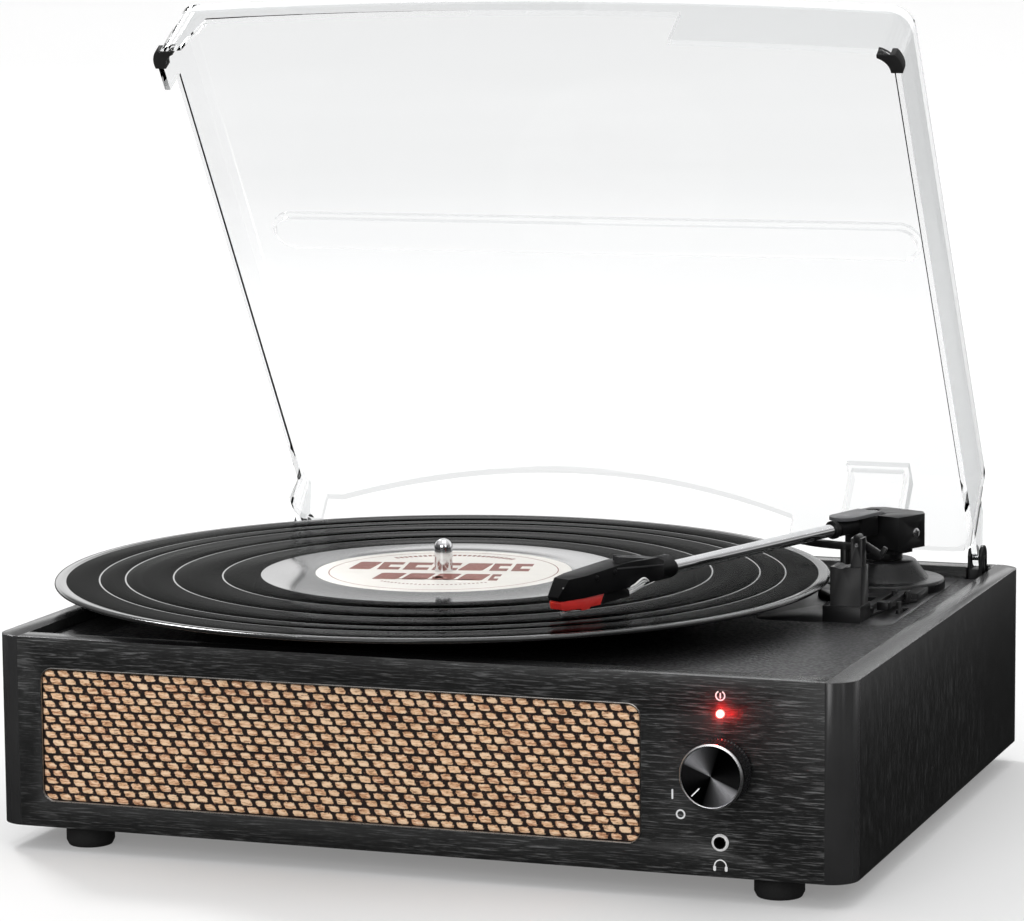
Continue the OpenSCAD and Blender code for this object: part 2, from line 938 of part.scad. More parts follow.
// plan that narrows to the nose, up to a half width
module nose_plan(half) {
    translate([0, 0, -10]) linear_extrude(30) polygon([
        [136, -4.6], [150, -half], [181, -half], [193.4, -2.5],
        [193.4, 2.5], [181, half], [150, half], [136, 4.6]
    ]);
}

module cartridge() {
    color("#0d0d0e")
    arm_tilted() intersection() {
        side_profile(12, [
            [156.5, -5.8], [156.5, -3.6], [158.5, -2.2], [191, -2.2],
            [191, -2.5], [169.9, -2.5], [172, -6.2]
        ]);
        nose_plan(4.8);
    }
}

module stylus_carrier() {
    color("#c8242b")
    arm_tilted() difference() {
        intersection() {
            side_profile(12, [
                [170.4, -2.5], [191.5, -2.5], [192, -3], [191.4, -5.4], [190, -6], [182.6, -6.2],
                [182.3, -6.95], [178.4, -6.95], [178, -6.3], [172.5, -6.3]
            ]);
            nose_plan(4.6);
        }
        // seat of the needle's lever
        needle_lever();
    }
}

module needle_lever() {
    translate([arm_l - 7.7, -0.4, -7.12]) rotate([0, 4, 0]) cube([7.9, 0.8, 0.35]);
}

module stylus() {
    color("#c9ccd0")
    arm_tilted() {
        needle_lever();
        translate([arm_l, 0, -7.77]) cylinder(h = 0.3, r1 = 0.1, r2 = 0.3, $fn = 16);
    }
}

// ---- cueing, rest clip and small levers ----

cue_y = 54;
cue_x = 132.4;
cue_z = plate_z + 3.2;
module cue_lever() {
    color("#2a2b2d")
    translate([cue_x, cue_y, cue_z])
    difference() {
        union() {
            rotate([0, 90, 0]) cylinder(h = 3, r = 1.8);
            translate([0, -28, -1.2]) cube([3, 28, 2]);
            translate([-0.8, -29.4, -1.2]) cube([4.6, 5, 3.2]);
        }
        rotate([0, 90, 0]) translate([0, 0, -cut]) cylinder(h = 9, r = 0.7);
    }
}

lifter_turn = 8;
lifter_post_x = arm_x - lifter_r * sin(lifter_turn);
lifter_post_y = arm_y - lifter_r * cos(lifter_turn);
lifter_from = -6;
lifter_to = 44;
module arm_lifter() {
    color("#151515") {
        translate([arm_x, arm_y, rim_z + 16.6]) {
            rotate([0, 0, -90 - lifter_to]) {
                rotate_extrude(angle = lifter_to - lifter_from, $fn = 96) {
                    translate([lifter_r - 1.8, 0]) square([3.6, 2.6]);
                }
            }
        }
        translate([lifter_post_x, lifter_post_y, plate_z - 12]) {
            cylinder(h = plate_drop + 12 + 16.6, r = 2);
        }
    }
}

clip_z = plate_z + 29.4;
clip_l = 11;
module arm_clip() {
    color("#1a1a1a")
    translate([127.7, 14.8, clip_z]) rotate([0, 30, 0])
    difference() {
        union() {
            rotate([-90, 0, 0]) cylinder(h = 2.2, r = 2);
            translate([0, 0, -1.2]) cube([clip_l - 2, 2.2, 2.4]);
            translate([clip_l - 3, 0, -1.2]) cube([2, 2.2, 4.6]);
        }
        rotate([-90, 0, 0]) translate([0, 0, -cut]) cylinder(h = 9, r = 0.8 + run);
    }
}

module clip_pin() {
    color("#b8bbbf")
    translate([127.7, 8.6, clip_z]) rotate([-90, 0, 0]) cylinder(h = 8.6, r = 0.8);
}

small_lever_y = 31;
speed_x = 119;
module speed_lever() {
    color("#2b2c2e")
    translate([speed_x, small_lever_y, plate_z + 1.6]) {
        cube([4.4, 3.4, 1.4]);
        translate([1.2, 0.6, 1.4]) cube([2, 2.2, 3]);
        translate([1.2, 0, -10]) cube([2, 3.4, 10]);
    }
}

stop_x = 137.5;
module stop_lever() {
    color("#2b2c2e")
    translate([stop_x, small_lever_y, plate_z + 0.4]) {
        translate([0, 0, -8]) cube([1.8, 3, 9]);
        translate([0, 0.6, 1]) cube([1.8, 1.8, 3]);
    }
}

// ---- dust cover ----

// outline of the closed cover at one level, drawn in by an inset
module lid_outline(rear, inset) {
    r = lid_corner - inset * 0.6;
    half = lid_half_w - inset - r;
    for (s = [-1, 1]) {
        translate([s * half, lid_front + inset + r]) circle(r, $fn = 32);
        translate([s * half, rear - inset - r]) circle(r, $fn = 32);
    }
    polygon([
        for (k = [0:12]) let (u = -1 + k / 6) [u * half, lid_front + inset - lid_bow * (1 - u * u)],
        [half, lid_front + inset + 20], [-half, lid_front + inset + 20]
    ]);
}

// solid body of the cover between two levels, with a softened top edge
module lid_block(inset, low, high) {
    hull() {
        translate([0, 0, low]) linear_extrude(slab) lid_outline(lid_rear_low, inset);
        translate([0, 0, high - lid_edge - slab]) linear_extrude(slab) lid_outline(lid_rear_high, inset);
        translate([0, 0, high - slab]) linear_extrude(slab) lid_outline(lid_rear_high, inset + lid_edge);
    }
}

// long stadium that runs across the cover
band_y = -14;
module lid_band(grow, low, high) {
    linear_extrude_z(low, high) {
        translate([-(lid_half_w - 21), band_y - 7.4 - grow]) square([2 * (lid_half_w - 21), 14.8 + 2 * grow]);
        for (s = [-1, 1]) {
            translate([s * (lid_half_w - 21), band_y]) circle(7.4 + grow, $fn = 32);
        }
    }
}

// pocket over the rear of the arm
module lid_pocket(grow, low, high) {
    translate([103, 0, 0]) rotate([90, 0, 90]) linear_extrude(23 + 2 * grow, center = true) polygon([
        [104 - grow, high], [112.5 + grow, high], [118.5 + grow, low], [104 - grow, low]
    ]);
}

arch_left = -130;
arch_right = 70;
arch_low = rim_z + 12;
arch_rise = 16.4;
module rear_arch() {
    half = (arch_right - arch_left) / 2;
    rotate([90, 0, 0]) linear_extrude(40, center = true) polygon([
        [-137, rim_z - 5], [-137, arch_low],
        for (k = [0:24]) let (u = -1 + k / 12) [arch_left + half * (1 + u), arch_low + arch_rise * (1 - u * u)],
        [arch_right, rim_z - 5]
    ]);
}

module front_cut() {
    rotate([90, 0, 0]) linear_extrude(30, center = true) polygon([
        [-138, rim_z - 5], [-137, rim_z + 2], [-132.5, rim_z + 19],
        [62, rim_z + 19], [62, rim_z - 5]
    ]);
}

module lid_arm(side) {
    translate([side * hinge_mid, 0, 0]) rotate([90, 0, 90]) linear_extrude(lid_t, center = true) polygon([
        [106, rim_z + 3], [106, rim_z + 18], [113, rim_z + 18],
        [hinge_y + 1, hinge_z + 3.8], [hinge_y + 1, hinge_z - 3.4], [118, rim_z + 1.2]
    ]);
    translate([side * hinge_mid, hinge_y, hinge_z]) rotate([0, 90, 0]) {
        cylinder(h = lid_t, r = hinge_eye_r, center = true);
    }
}

module dust_cover_closed() {
    difference() {
        union() {
            difference() {
                union() {
                    lid_block(0, lid_low, lid_high);
                    lid_band(1.6, lid_high - 3, lid_high + 1.6);
                    lid_pocket(1.6, rim_z + 16, lid_high + 2.8);
                }
                lid_block(lid_t, lid_low - cut, lid_high - lid_t);
                lid_band(0, lid_high - 6, lid_high);
                lid_pocket(-0.4, rim_z + 14, lid_high + 1);
                translate([0, 110, 0]) rear_arch();
                translate([0, -128, 0]) front_cut();
                // left wall stands clear of the overhanging record
                translate([-160, -107, rim_z - 5]) cube([30, 212.5, 17.5]);
                // room for the hinge brackets
                for (s = [-1, 1]) {
                    translate([s * hinge_mid - 4, 117.6, rim_z - 5]) cube([8, 16, 16]);
                }
            }
            lid_arm(-1);
            lid_arm(1);
        }
        translate([0, hinge_y, hinge_z]) rotate([0, 90, 0]) {
            cylinder(h = cabinet_w, r = hinge_pin_r + run, center = true);
        }
    }
}

// children of the closed cover, swung open about the hinge
module lid_swung() {
    translate([0, hinge_y, hinge_z]) rotate([-lid_open, 0, 0]) {
        translate([0, -hinge_y, -hinge_z]) children();
    }
}

module dust_cover() {
    color("#dfe6ea", 0.35) lid_swung() dust_cover_closed();
}

bumper_t = 1.2;
module lid_bumpers() {
    color("#0a0a0a")
    lid_swung()
    difference() {
        linear_extrude_z(lid_low - 0.6, lid_low + 4) intersection() {
            difference() {
                lid_outline(lid_rear_low, -bumper_t);
                lid_outline(lid_rear_low, lid_t + bumper_t);
            }
            for (s = [-1, 1]) {
                translate([s * lid_half_w, -121.5]) square([16, 8], center = true);
            }
        }
        difference() {
            lid_block(0, lid_low, lid_high);
            lid_block(lid_t, lid_low - cut, lid_high - lid_t);
        }
    }
}

cabinet_front();
cabinet_rear();
cabinet_sides();
corner_blocks();
base_panel();
top_plate();
grille_cloth();
grille_frame();
speaker_frames();
speaker_cones();
speaker_magnets();
power_led();
headphone_jack();
circuit_board();
board_parts();
potentiometer();
rear_panel();
rca_sockets();
aux_socket();
dc_socket();
feet();
case_screws();
hinge_brackets();
hinge_pins();
bearing_housing();
drive_motor();
motor_screws();
drive_belt();
arm_plate();
arm_base();
pivot_base();
arm_rest();
platter();
slip_mat();
spindle();
record();
record_label();
motor_pulley();
volume_knob();
knob_ring();
volume_shaft();
arm_yoke();
swing_shaft();
lift_pins();
arm_housing();
arm_sleeve();
sleeve_cap();
arm_tube();
headshell();
cartridge();
stylus_carrier();
stylus();
cue_lever();
arm_lifter();
arm_clip();
clip_pin();
speed_lever();
stop_lever();
dust_cover();
lid_bumpers();
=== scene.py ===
import json
import math
import random

import bmesh
import bpy
from mathutils import Matrix, Vector


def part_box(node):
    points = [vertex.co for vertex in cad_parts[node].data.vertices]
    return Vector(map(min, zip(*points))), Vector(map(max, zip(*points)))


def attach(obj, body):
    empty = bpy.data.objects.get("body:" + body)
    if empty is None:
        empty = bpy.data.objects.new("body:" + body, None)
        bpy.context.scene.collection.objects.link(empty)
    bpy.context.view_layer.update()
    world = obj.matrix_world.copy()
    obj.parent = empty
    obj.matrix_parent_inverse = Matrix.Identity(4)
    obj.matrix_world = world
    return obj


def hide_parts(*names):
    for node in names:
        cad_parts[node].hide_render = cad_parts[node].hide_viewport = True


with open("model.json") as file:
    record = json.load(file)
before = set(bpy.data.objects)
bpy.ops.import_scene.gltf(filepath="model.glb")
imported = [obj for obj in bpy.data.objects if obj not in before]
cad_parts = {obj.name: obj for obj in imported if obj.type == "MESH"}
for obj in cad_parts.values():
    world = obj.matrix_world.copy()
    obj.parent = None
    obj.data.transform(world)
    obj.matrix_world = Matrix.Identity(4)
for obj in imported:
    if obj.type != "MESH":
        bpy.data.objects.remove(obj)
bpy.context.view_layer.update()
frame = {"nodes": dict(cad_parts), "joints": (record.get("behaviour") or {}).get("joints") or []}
NODES = frame["nodes"]
JOINTS = {j["name"]: j for j in frame["joints"]}
MM = 0.001


# ---- node materials ----

class Mat:
    """A procedural material on one Principled shader. Each helper adds a node and returns its output."""

    def __init__(self, name, color=(0.5, 0.5, 0.5), rough=0.5, **more):
        self.mat = bpy.data.materials.new(name)
        self.mat.use_nodes = True
        self.tree = self.mat.node_tree
        self.bsdf = self.tree.nodes["Principled BSDF"]
        self.put("Base Color", color)
        self.put("Roughness", rough)
        for key, value in more.items():
            self.put(key.replace("_", " "), value)
        coord = self.tree.nodes.new("ShaderNodeTexCoord")
        self.pos, self.normal = coord.outputs["Object"], coord.outputs["Normal"]

    def put(self, name, value):
        self.feed(self.bsdf.inputs[name], value)

    def feed(self, socket, value):
        if isinstance(value, bpy.types.NodeSocket):
            self.tree.links.new(value, socket)
        elif socket.type == "RGBA":
            socket.default_value = (*value, 1) if isinstance(value, tuple) else (value, value, value, 1)
        else:
            socket.default_value = value

    def node(self, kind, ins=(), out=0, **attrs):
        n = self.tree.nodes.new(kind)
        for key, value in attrs.items():
            setattr(n, key, value)
        for key, value in dict(ins).items():
            self.feed(n.inputs[key], value)
        return n.outputs[out]

    def xyz(self, vec=None):
        n = self.tree.nodes.new("ShaderNodeSeparateXYZ")
        self.feed(n.inputs[0], vec or self.pos)
        return n.outputs[0], n.outputs[1], n.outputs[2]

    def vec(self, x=0.0, y=0.0, z=0.0):
        return self.node("ShaderNodeCombineXYZ", {0: x, 1: y, 2: z})

    def offsets(self, centre, axis):
        """Distances from a centre along the two directions that cross an axis, in metres."""
        place = self.xyz()
        return [self.math("SUBTRACT", place[i], centre[i]) for i in range(3) if i != axis]

    def radius_mm(self, a, b):
        """Length of two offsets taken together, in millimetres."""
        squares = self.math("ADD", self.math("MULTIPLY", a, a), self.math("MULTIPLY", b, b))
        return self.math("MULTIPLY", self.math("SQRT", squares), 1.0 / MM)

    def rings(self, radius, per_mm, detail, rough, y, z):
        """Noise that changes only with a radius. The values y and z pick the pattern."""
        return self.noise(1.0, detail, rough, self.vec(self.math("MULTIPLY", radius, per_mm), y, z))

    def weigh(self, a, share_a, b, share_b):
        return self.math("ADD", self.math("MULTIPLY", a, share_a), self.math("MULTIPLY", b, share_b))

    def scaled(self, scale):
        return self.node("ShaderNodeMapping", {"Vector": self.pos, "Scale": scale})

    def math(self, op, a, b=0.0, clamp=False):
        return self.node("ShaderNodeMath", {0: a, 1: b}, operation=op, use_clamp=clamp)

    def noise(self, scale, detail=3.0, rough=0.5, vec=None, distort=0.0):
        return self.node("ShaderNodeTexNoise", {
            "Vector": vec or self.pos, "Scale": scale, "Detail": detail, "Roughness": rough,
            "Distortion": distort})

    def cells(self, scale, vec):
        return self.node("ShaderNodeTexVoronoi", {"Vector": vec, "Scale": scale, "Randomness": 1.0},
                         "Distance", feature="F1")

    def ramp(self, fac, *stops):
        n = self.tree.nodes.new("ShaderNodeValToRGB")
        self.feed(n.inputs[0], fac)
        while len(n.color_ramp.elements) < len(stops):
            n.color_ramp.elements.new(0.5)
        for e, (at, value) in zip(n.color_ramp.elements, stops):
            e.position = at
            e.color = (*value, 1) if isinstance(value, tuple) else (value, value, value, 1)
        return n.outputs[0]

    def span(self, value, low, high, to_low=0.0, to_high=1.0):
        return self.node("ShaderNodeMapRange", {0: value, 1: low, 2: high, 3: to_low, 4: to_high})

    def spread(self, noise, to_low=0.0, to_high=1.0):
        """The range in which a noise usually lies, stretched to other limits."""
        return self.span(noise, 0.3, 0.7, to_low, to_high)

    def mix(self, fac, a, b):
        n = self.tree.nodes.new("ShaderNodeMix")
        n.data_type = "RGBA"
        for socket, value in ((n.inputs[0], fac), (n.inputs[6], a), (n.inputs[7], b)):
            self.feed(socket, value)
        return n.outputs[2]

    def bump(self, height, strength, depth_mm):
        self.put("Normal", self.node("ShaderNodeBump", {
            "Height": height, "Strength": strength, "Distance": depth_mm * MM}))


GLOSS_WEAR = 0.35  # share by which smudges change the gloss of plastic
BRUSH_MM = 0.25  # width of a fine scratch in metal
PAINTED_HIGHLIGHT_ANGLE = 115.0  # direction of the painted highlight on the knob's turned face, in degrees
JACK_BORE_R = 2.15


def shade(color, factor, lift=0.0):
    """A colour made darker or lighter."""
    return tuple(min(1.0, c * factor + lift) for c in color)


def plastic(name, color, rough, grain_mm=0.35, grain=0.12, **more):
    """Moulded plastic or paint: fine grain, faint smudges in the gloss and a slightly uneven colour."""
    m = Mat(name, color, rough, **more)
    cloud = m.noise(38.0, 4.0, 0.6)
    fine = m.noise(1.0 / (grain_mm * MM), 2.0, 0.6)
    m.put("Base Color", m.mix(m.spread(cloud), shade(color, 0.82), shade(color, 1.22, 0.002)))
    low, high = max(0.03, rough * (1 - GLOSS_WEAR)), min(1, rough * (1 + GLOSS_WEAR))
    m.put("Roughness", m.spread(m.weigh(cloud, 0.7, fine, 0.3), low, high))
    m.bump(fine, grain, 0.05)
    return m.mat


def metal(name, color, rough, brush=(1, 1, 1)):
    """Metal with fine scratches that run along the axis whose brush value is smallest."""
    m = Mat(name, color, rough, Metallic=1.0)
    line = m.noise(1.0 / (BRUSH_MM * MM), 3.0, 0.6, m.scaled(brush))
    cloud = m.noise(60.0, 3.0, 0.6)
    m.put("Base Color", m.mix(m.spread(cloud), shade(color, 0.9), color))
    m.put("Roughness", m.spread(line, rough * 0.7, rough * 1.35))
    m.bump(line, 0.06, 0.02)
    return m.mat


def woodgrain():
    """Black woodgrain wrap: streaks run across the front and rear and up the sides. The rim and the round
    upright corners are smooth satin."""
    m = Mat("black_woodgrain", (0.02, 0.02, 0.02), 0.42)
    x, y, z = m.xyz()
    nx, _, nz = m.xyz(m.normal)
    side = m.span(m.math("ABSOLUTE", nx), 0.55, 0.8)
    beyond_seam = m.math("GREATER_THAN", m.math("ABSOLUTE", x), (SEAM.x + 0.05) * MM)
    near_corner = m.span(m.math("ABSOLUTE", y), (-SEAM.y - 0.6) * MM, (-SEAM.y + 0.2) * MM)
    rim = m.span(nz, 0.6, 0.9)
    smooth = m.math("MAXIMUM", rim, m.math("MULTIPLY", beyond_seam, near_corner))
    along, across = 2.2, 42.0
    level_grain = m.vec(m.math("MULTIPLY", x, along), 0.0, m.math("MULTIPLY", z, across))
    upright_grain = m.vec(m.math("MULTIPLY", y, across), 3.0, m.math("MULTIPLY", z, along))
    where = m.mix(side, level_grain, upright_grain)
    fine = m.noise(40.0, 6.0, 0.66, where, 0.4)
    finer = m.noise(125.0, 3.0, 0.6, where)
    patch = m.noise(9.0, 2.0, 0.5)
    streak = m.math("MULTIPLY", m.span(fine, 0.52, 0.66), m.span(patch, 0.35, 0.62, 0.3, 1.0))
    streak = m.math("ADD", streak, m.math("MULTIPLY", m.span(finer, 0.58, 0.76), 0.4), clamp=True)
    pores = m.span(m.noise(14.0, 2.0, 0.5, where), 0.35, 0.65, 0.0, 0.4)
    wood = m.mix(streak, (0.014, 0.0145, 0.0142), (0.16, 0.162, 0.163))
    wood = m.mix(pores, wood, (0.0025, 0.0025, 0.003))
    # The side faces are painted darker: painted shade.
    wood = m.mix(m.math("MULTIPLY", side, 0.65), wood, (0.004, 0.004, 0.0042))
    satin = m.mix(m.spread(m.noise(30.0, 3.0)), (0.02, 0.02, 0.0205), (0.03, 0.03, 0.0305))
    m.put("Base Color", m.mix(smooth, wood, satin))
    wood_gloss = m.span(streak, 0.0, 1.0, 0.4, 0.58)
    satin_gloss = m.spread(m.noise(70.0, 3.0), 0.22, 0.26)
    m.put("Roughness", m.mix(smooth, wood_gloss, satin_gloss))
    height = m.weigh(fine, 0.7, finer, 0.3)
    m.bump(m.math("MULTIPLY", height, m.math("SUBTRACT", 1.0, smooth)), 0.5, 0.22)
    return m.mat


def leather(name, color, rough):
    """Pebbled leather grain, as pressed into the top plate."""
    m = Mat(name, color, rough)
    sway = (0.6 * MM,) * 3
    wander = m.node("ShaderNodeVectorMath", {0: m.noise(500.0, 2.0), 1: sway}, operation="MULTIPLY")
    pebbles = m.cells(720.0, m.node("ShaderNodeVectorMath", {0: m.pos, 1: wander}, operation="ADD"))
    small = m.noise(1700.0, 2.0, 0.6)
    m.put("Base Color", m.mix(m.span(pebbles, 0.1, 0.7), shade(color, 1.7), shade(color, 0.55)))
    m.put("Roughness", m.span(pebbles, 0.1, 0.7, rough * 0.85, rough * 1.3))
    m.bump(m.weigh(pebbles, 1.0, small, 0.35), 0.9, 0.3)
    return m.mat


def fabric_mat():
    """Speaker cloth: tan bundles of thread over dark gaps, from the weave height stored on the mesh."""
    m = Mat("speaker_weave", (0.6, 0.38, 0.23), 0.8, Sheen_Weight=0.1)
    high = m.node("ShaderNodeAttribute", attribute_name="weave", out="Fac")
    tint = m.node("ShaderNodeAttribute", attribute_name="tint", out="Fac")
    x, _, z = m.xyz()
    ragged = m.noise(1100.0, 3.0, 0.65)
    strands = m.noise(1.0, 3.0, 0.7, m.vec(m.math("MULTIPLY", x, 250.0), 0.0, m.math("MULTIPLY", z, 1100.0)))
    tan = m.ramp(tint, (0.0, (0.58, 0.29, 0.15)), (0.35, (0.70, 0.40, 0.21)),
                 (0.7, (0.78, 0.48, 0.27)), (1.0, (0.86, 0.60, 0.38)))
    tan = m.mix(m.span(strands, 0.46, 0.6, 0.0, 0.9), tan, (0.95, 0.70, 0.48))
    tan = m.mix(m.span(strands, 0.46, 0.36, 0.0, 0.85), tan, (0.22, 0.08, 0.035))
    # The gaps are dark for the dark cross threads and the black behind them; the paler flecks in the gaps are
    # painted glints.
    gap = m.mix(m.span(ragged, 0.58, 0.72), (0.010, 0.003, 0.002), (0.14, 0.055, 0.035))
    edge = m.math("ADD", high, m.math("MULTIPLY", m.math("SUBTRACT", ragged, 0.5), 0.9))
    m.put("Base Color", m.mix(m.span(edge, 0.3, 0.5), gap, tan))
    m.bump(strands, 0.6, 0.3)
    return m.mat


def vinyl_grooves():
    """Grooved part of the record: fine rings and highlights stretched across them."""
    m = Mat("record_grooves", (0.1, 0.1, 0.1), 0.22, Metallic=1.0, Anisotropic=0.85,
            Specular_Tint=(0.22, 0.22, 0.22))
    r = m.radius_mm(*m.offsets(DISC, 2))
    fine = m.rings(r, 9.0, 2.0, 0.9, 4.0, 2.0)
    broad = m.rings(r, 0.3, 2.0, 0.6, 1.0, 7.0)
    m.put("Base Color", m.mix(m.span(broad, 0.35, 0.65), (0.05, 0.051, 0.05), (0.085, 0.087, 0.085)))
    m.put("Roughness", m.spread(broad, 0.2, 0.25))
    m.bump(fine, 0.03, 0.02)
    m.put("Tangent", m.node("ShaderNodeTangent", direction_type="RADIAL", axis="Z"))
    return m.mat


def vinyl_smooth():
    """Run out, track gaps and edge of the record: polished, with faint pressing marks."""
    m = Mat("record_vinyl", (0.012, 0.012, 0.012), 0.1)
    r = m.radius_mm(*m.offsets(DISC, 2))
    marks = m.rings(r, 1.2, 2.0, 0.7, 2.0, 5.0)
    m.put("Base Color", m.mix(m.span(marks, 0.35, 0.65), (0.009, 0.009, 0.009), (0.016, 0.016, 0.016)))
    m.put("Roughness", m.spread(marks, 0.08, 0.14))
    m.bump(m.noise(60.0, 3.0), 0.05, 0.05)
    return m.mat


def paper(name, color):
    """Printed paper: fine fibres and faint blots."""
    m = Mat(name, color, 0.55)
    fibre = m.noise(700.0, 4.0, 0.7)
    blot = m.noise(45.0, 3.0, 0.6)
    m.put("Base Color", m.mix(m.spread(blot), shade(color, 0.93), color))
    m.put("Roughness", m.spread(fibre, 0.42, 0.6))
    m.bump(fibre, 0.25, 0.05)
    return m.mat


def spun(name, color, rough, centre, axis):
    """Turned metal face: fine rings, real highlights stretched by the turning, and a painted highlight in two
    opposite sectors of the base colour, spreading out from the centre.
    """
    m = Mat(name, color, rough, Metallic=1.0, Anisotropic=0.9)
    a, b = m.offsets(centre, axis)
    fine = m.rings(m.radius_mm(a, b), 7.0, 3.0, 0.8, 5.0, 1.0)
    turn = m.math("SUBTRACT", m.math("ARCTAN2", b, a), math.radians(PAINTED_HIGHLIGHT_ANGLE))
    painted_fan = m.math("COSINE", m.math("MULTIPLY", turn, 2.0))
    # The base colour is painted much paler in two opposite sectors: a painted highlight.
    painted_highlight = m.mix(m.span(painted_fan, 0.05, 0.85), shade(color, 0.12), shade(color, 13.0, 0.02))
    m.put("Base Color", m.mix(m.spread(fine, 0.0, 0.35), painted_highlight, shade(color, 0.4)))
    m.put("Roughness", m.spread(fine, rough * 0.8, rough * 1.2))
    m.bump(fine, 0.12, 0.02)
    m.put("Tangent", m.node("ShaderNodeTangent", direction_type="RADIAL", axis="XYZ"[axis]))
    return m.mat


def clear():
    """Clear acrylic with barely uneven gloss."""
    m = Mat("clear_acrylic", (0.9, 0.905, 0.905), 0.02, Transmission_Weight=1.0, IOR=1.13)
    glancing = m.node("ShaderNodeLayerWeight", {"Blend": 0.25}, "Facing")
    # Seen edge on, the acrylic's colour is painted greyer: painted shade for its edges.
    m.put("Base Color", m.mix(m.span(glancing, 0.3, 0.9), (0.87, 0.876, 0.878), (0.5, 0.51, 0.52)))
    m.put("Roughness", m.span(m.noise(30.0, 4.0, 0.6), 0.35, 0.7, 0.0, 0.02))
    m.bump(m.noise(9.0, 2.0, 0.5), 0.02, 0.01)
    return m.mat


def jack_mat():
    """Plated ring of the headphone jack, with a dark bore. The ring is painted near white with little
    metalness: its silvery colour together with a painted reflection.
    """
    m = Mat("jack_ring", (0.9, 0.9, 0.9), 0.3, Metallic=0.1)
    r = m.radius_mm(*m.offsets((jack_box[0] + jack_box[1]) / 2 * MM, 1))
    fine = m.rings(r, 6.0, 3.0, 0.7, 1.0, 1.0)
    # The ring's colour is painted near white: a painted reflection of the plating.
    painted_shine = m.mix(m.spread(fine), (0.78, 0.78, 0.78), (0.92, 0.92, 0.92))
    plated = m.span(r, JACK_BORE_R, JACK_BORE_R + 0.15)
    m.put("Base Color", m.mix(plated, (0.004, 0.004, 0.004), painted_shine))
    m.put("Roughness", m.spread(fine, 0.25, 0.36))
    m.bump(fine, 0.1, 0.02)
    return m.mat


def glow(name, color, strength):
    """Lit plastic, paler where it is seen edge on."""
    m = Mat(name, color, 0.2)
    core = m.node("ShaderNodeLayerWeight", {"Blend": 0.35}, "Facing")
    m.put("Emission Color", m.mix(core, (1.0, 0.35, 0.3), color))
    m.put("Emission Strength", strength)
    return m.mat


# ---- meshes, in millimetres unless a matrix says otherwise ----

def build(name, verts, faces, body, mat, slot, place=None, smooth=35.0, bevel=0.0, replaces=()):
    """A named piece from points in millimetres, placed by a matrix in metres, riding on a body."""
    mesh = bpy.data.meshes.new(name)
    mesh.from_pydata([Vector(v) * MM for v in verts], [], faces)
    if place is not None:
        mesh.transform(place)
    work = bmesh.new()
    work.from_mesh(mesh)
    bmesh.ops.remove_doubles(work, verts=work.verts, dist=1e-7)
    bmesh.ops.recalc_face_normals(work, faces=work.faces)
    work.to_mesh(mesh)
    work.free()
    obj = bpy.data.objects.new(name, mesh)
    bpy.context.scene.collection.objects.link(obj)
    mesh.materials.append(mat)
    finish_edges(obj, smooth, bevel)
    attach(obj, body)
    for n in replaces:
        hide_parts(n)
    return obj


def smooth_faces(mesh):
    for poly in mesh.polygons:
        poly.use_smooth = True


def finish_edges(obj, smooth, bevel, weld=False):
    """Smooth shading, with edges beyond an angle in degrees either rounded or marked sharp."""
    smooth_faces(obj.data)
    if weld:
        obj.modifiers.new("Weld", "WELD").merge_threshold = 1e-6
    if bevel:
        b = obj.modifiers.new("Bevel", "BEVEL")
        b.width = bevel * MM
        b.segments = 2
        b.limit_method = "ANGLE"
        b.angle_limit = math.radians(smooth)
        b.use_clamp_overlap = True
        b.harden_normals = True
        b.miter_outer = "MITER_ARC"
    else:
        mark_sharp(obj.data, math.radians(smooth))


def mark_sharp(mesh, angle):
    work = bmesh.new()
    work.from_mesh(mesh)
    for e in work.edges:
        e.smooth = not (len(e.link_faces) == 2 and e.calc_face_angle(0.0) > angle)
    work.to_mesh(mesh)
    work.free()


def lathe(profile, segs):
    """Points and faces of a profile of (radius, height), run round the section, turned about local Z."""
    verts, faces, rings = [], [], []
    for r, h in profile:
        if r < 1e-6:
            rings.append([len(verts)])
            verts.append((0, 0, h))
        else:
            rings.append(list(range(len(verts), len(verts) + segs)))
            for k in range(segs):
                a = 2 * math.pi * k / segs
                verts.append((r * math.cos(a), r * math.sin(a), h))
    closed = profile[0][0] > 1e-6 or profile[-1][0] > 1e-6
    pairs = list(zip(rings, rings[1:])) + ([(rings[-1], rings[0])] if closed else [])
    for a, b in pairs:
        for k in range(segs):
            n = (k + 1) % segs
            if len(a) == 1 and len(b) == 1:
                continue
            if len(a) == 1:
                faces.append((a[0], b[k], b[n]))
            elif len(b) == 1:
                faces.append((a[k], b[0], a[n]))
            else:
                faces.append((a[k], b[k], b[n], a[n]))
    return verts, faces


def prism(outline, low, high):
    """Points and faces of an outline of (x, y) raised from low to high along local Z."""
    n = len(outline)
    verts = [(x, y, low) for x, y in outline] + [(x, y, high) for x, y in outline]
    faces = [tuple(range(n))[::-1], tuple(range(n, 2 * n))]
    faces += [(k, (k + 1) % n, n + (k + 1) % n, n + k) for k in range(n)]
    return verts, faces


def block(x0, y0, z0, x1, y1, z1):
    return prism([(x0, y0), (x1, y0), (x1, y1), (x0, y1)], z0, z1)


def join(*shapes):
    verts, faces = [], []
    for v, f in shapes:
        base = len(verts)
        verts += list(v)
        faces += [tuple(i + base for i in face) for face in f]
    return verts, faces


def moved(shape, matrix):
    return [tuple(matrix @ Vector(v)) for v in shape[0]], shape[1]


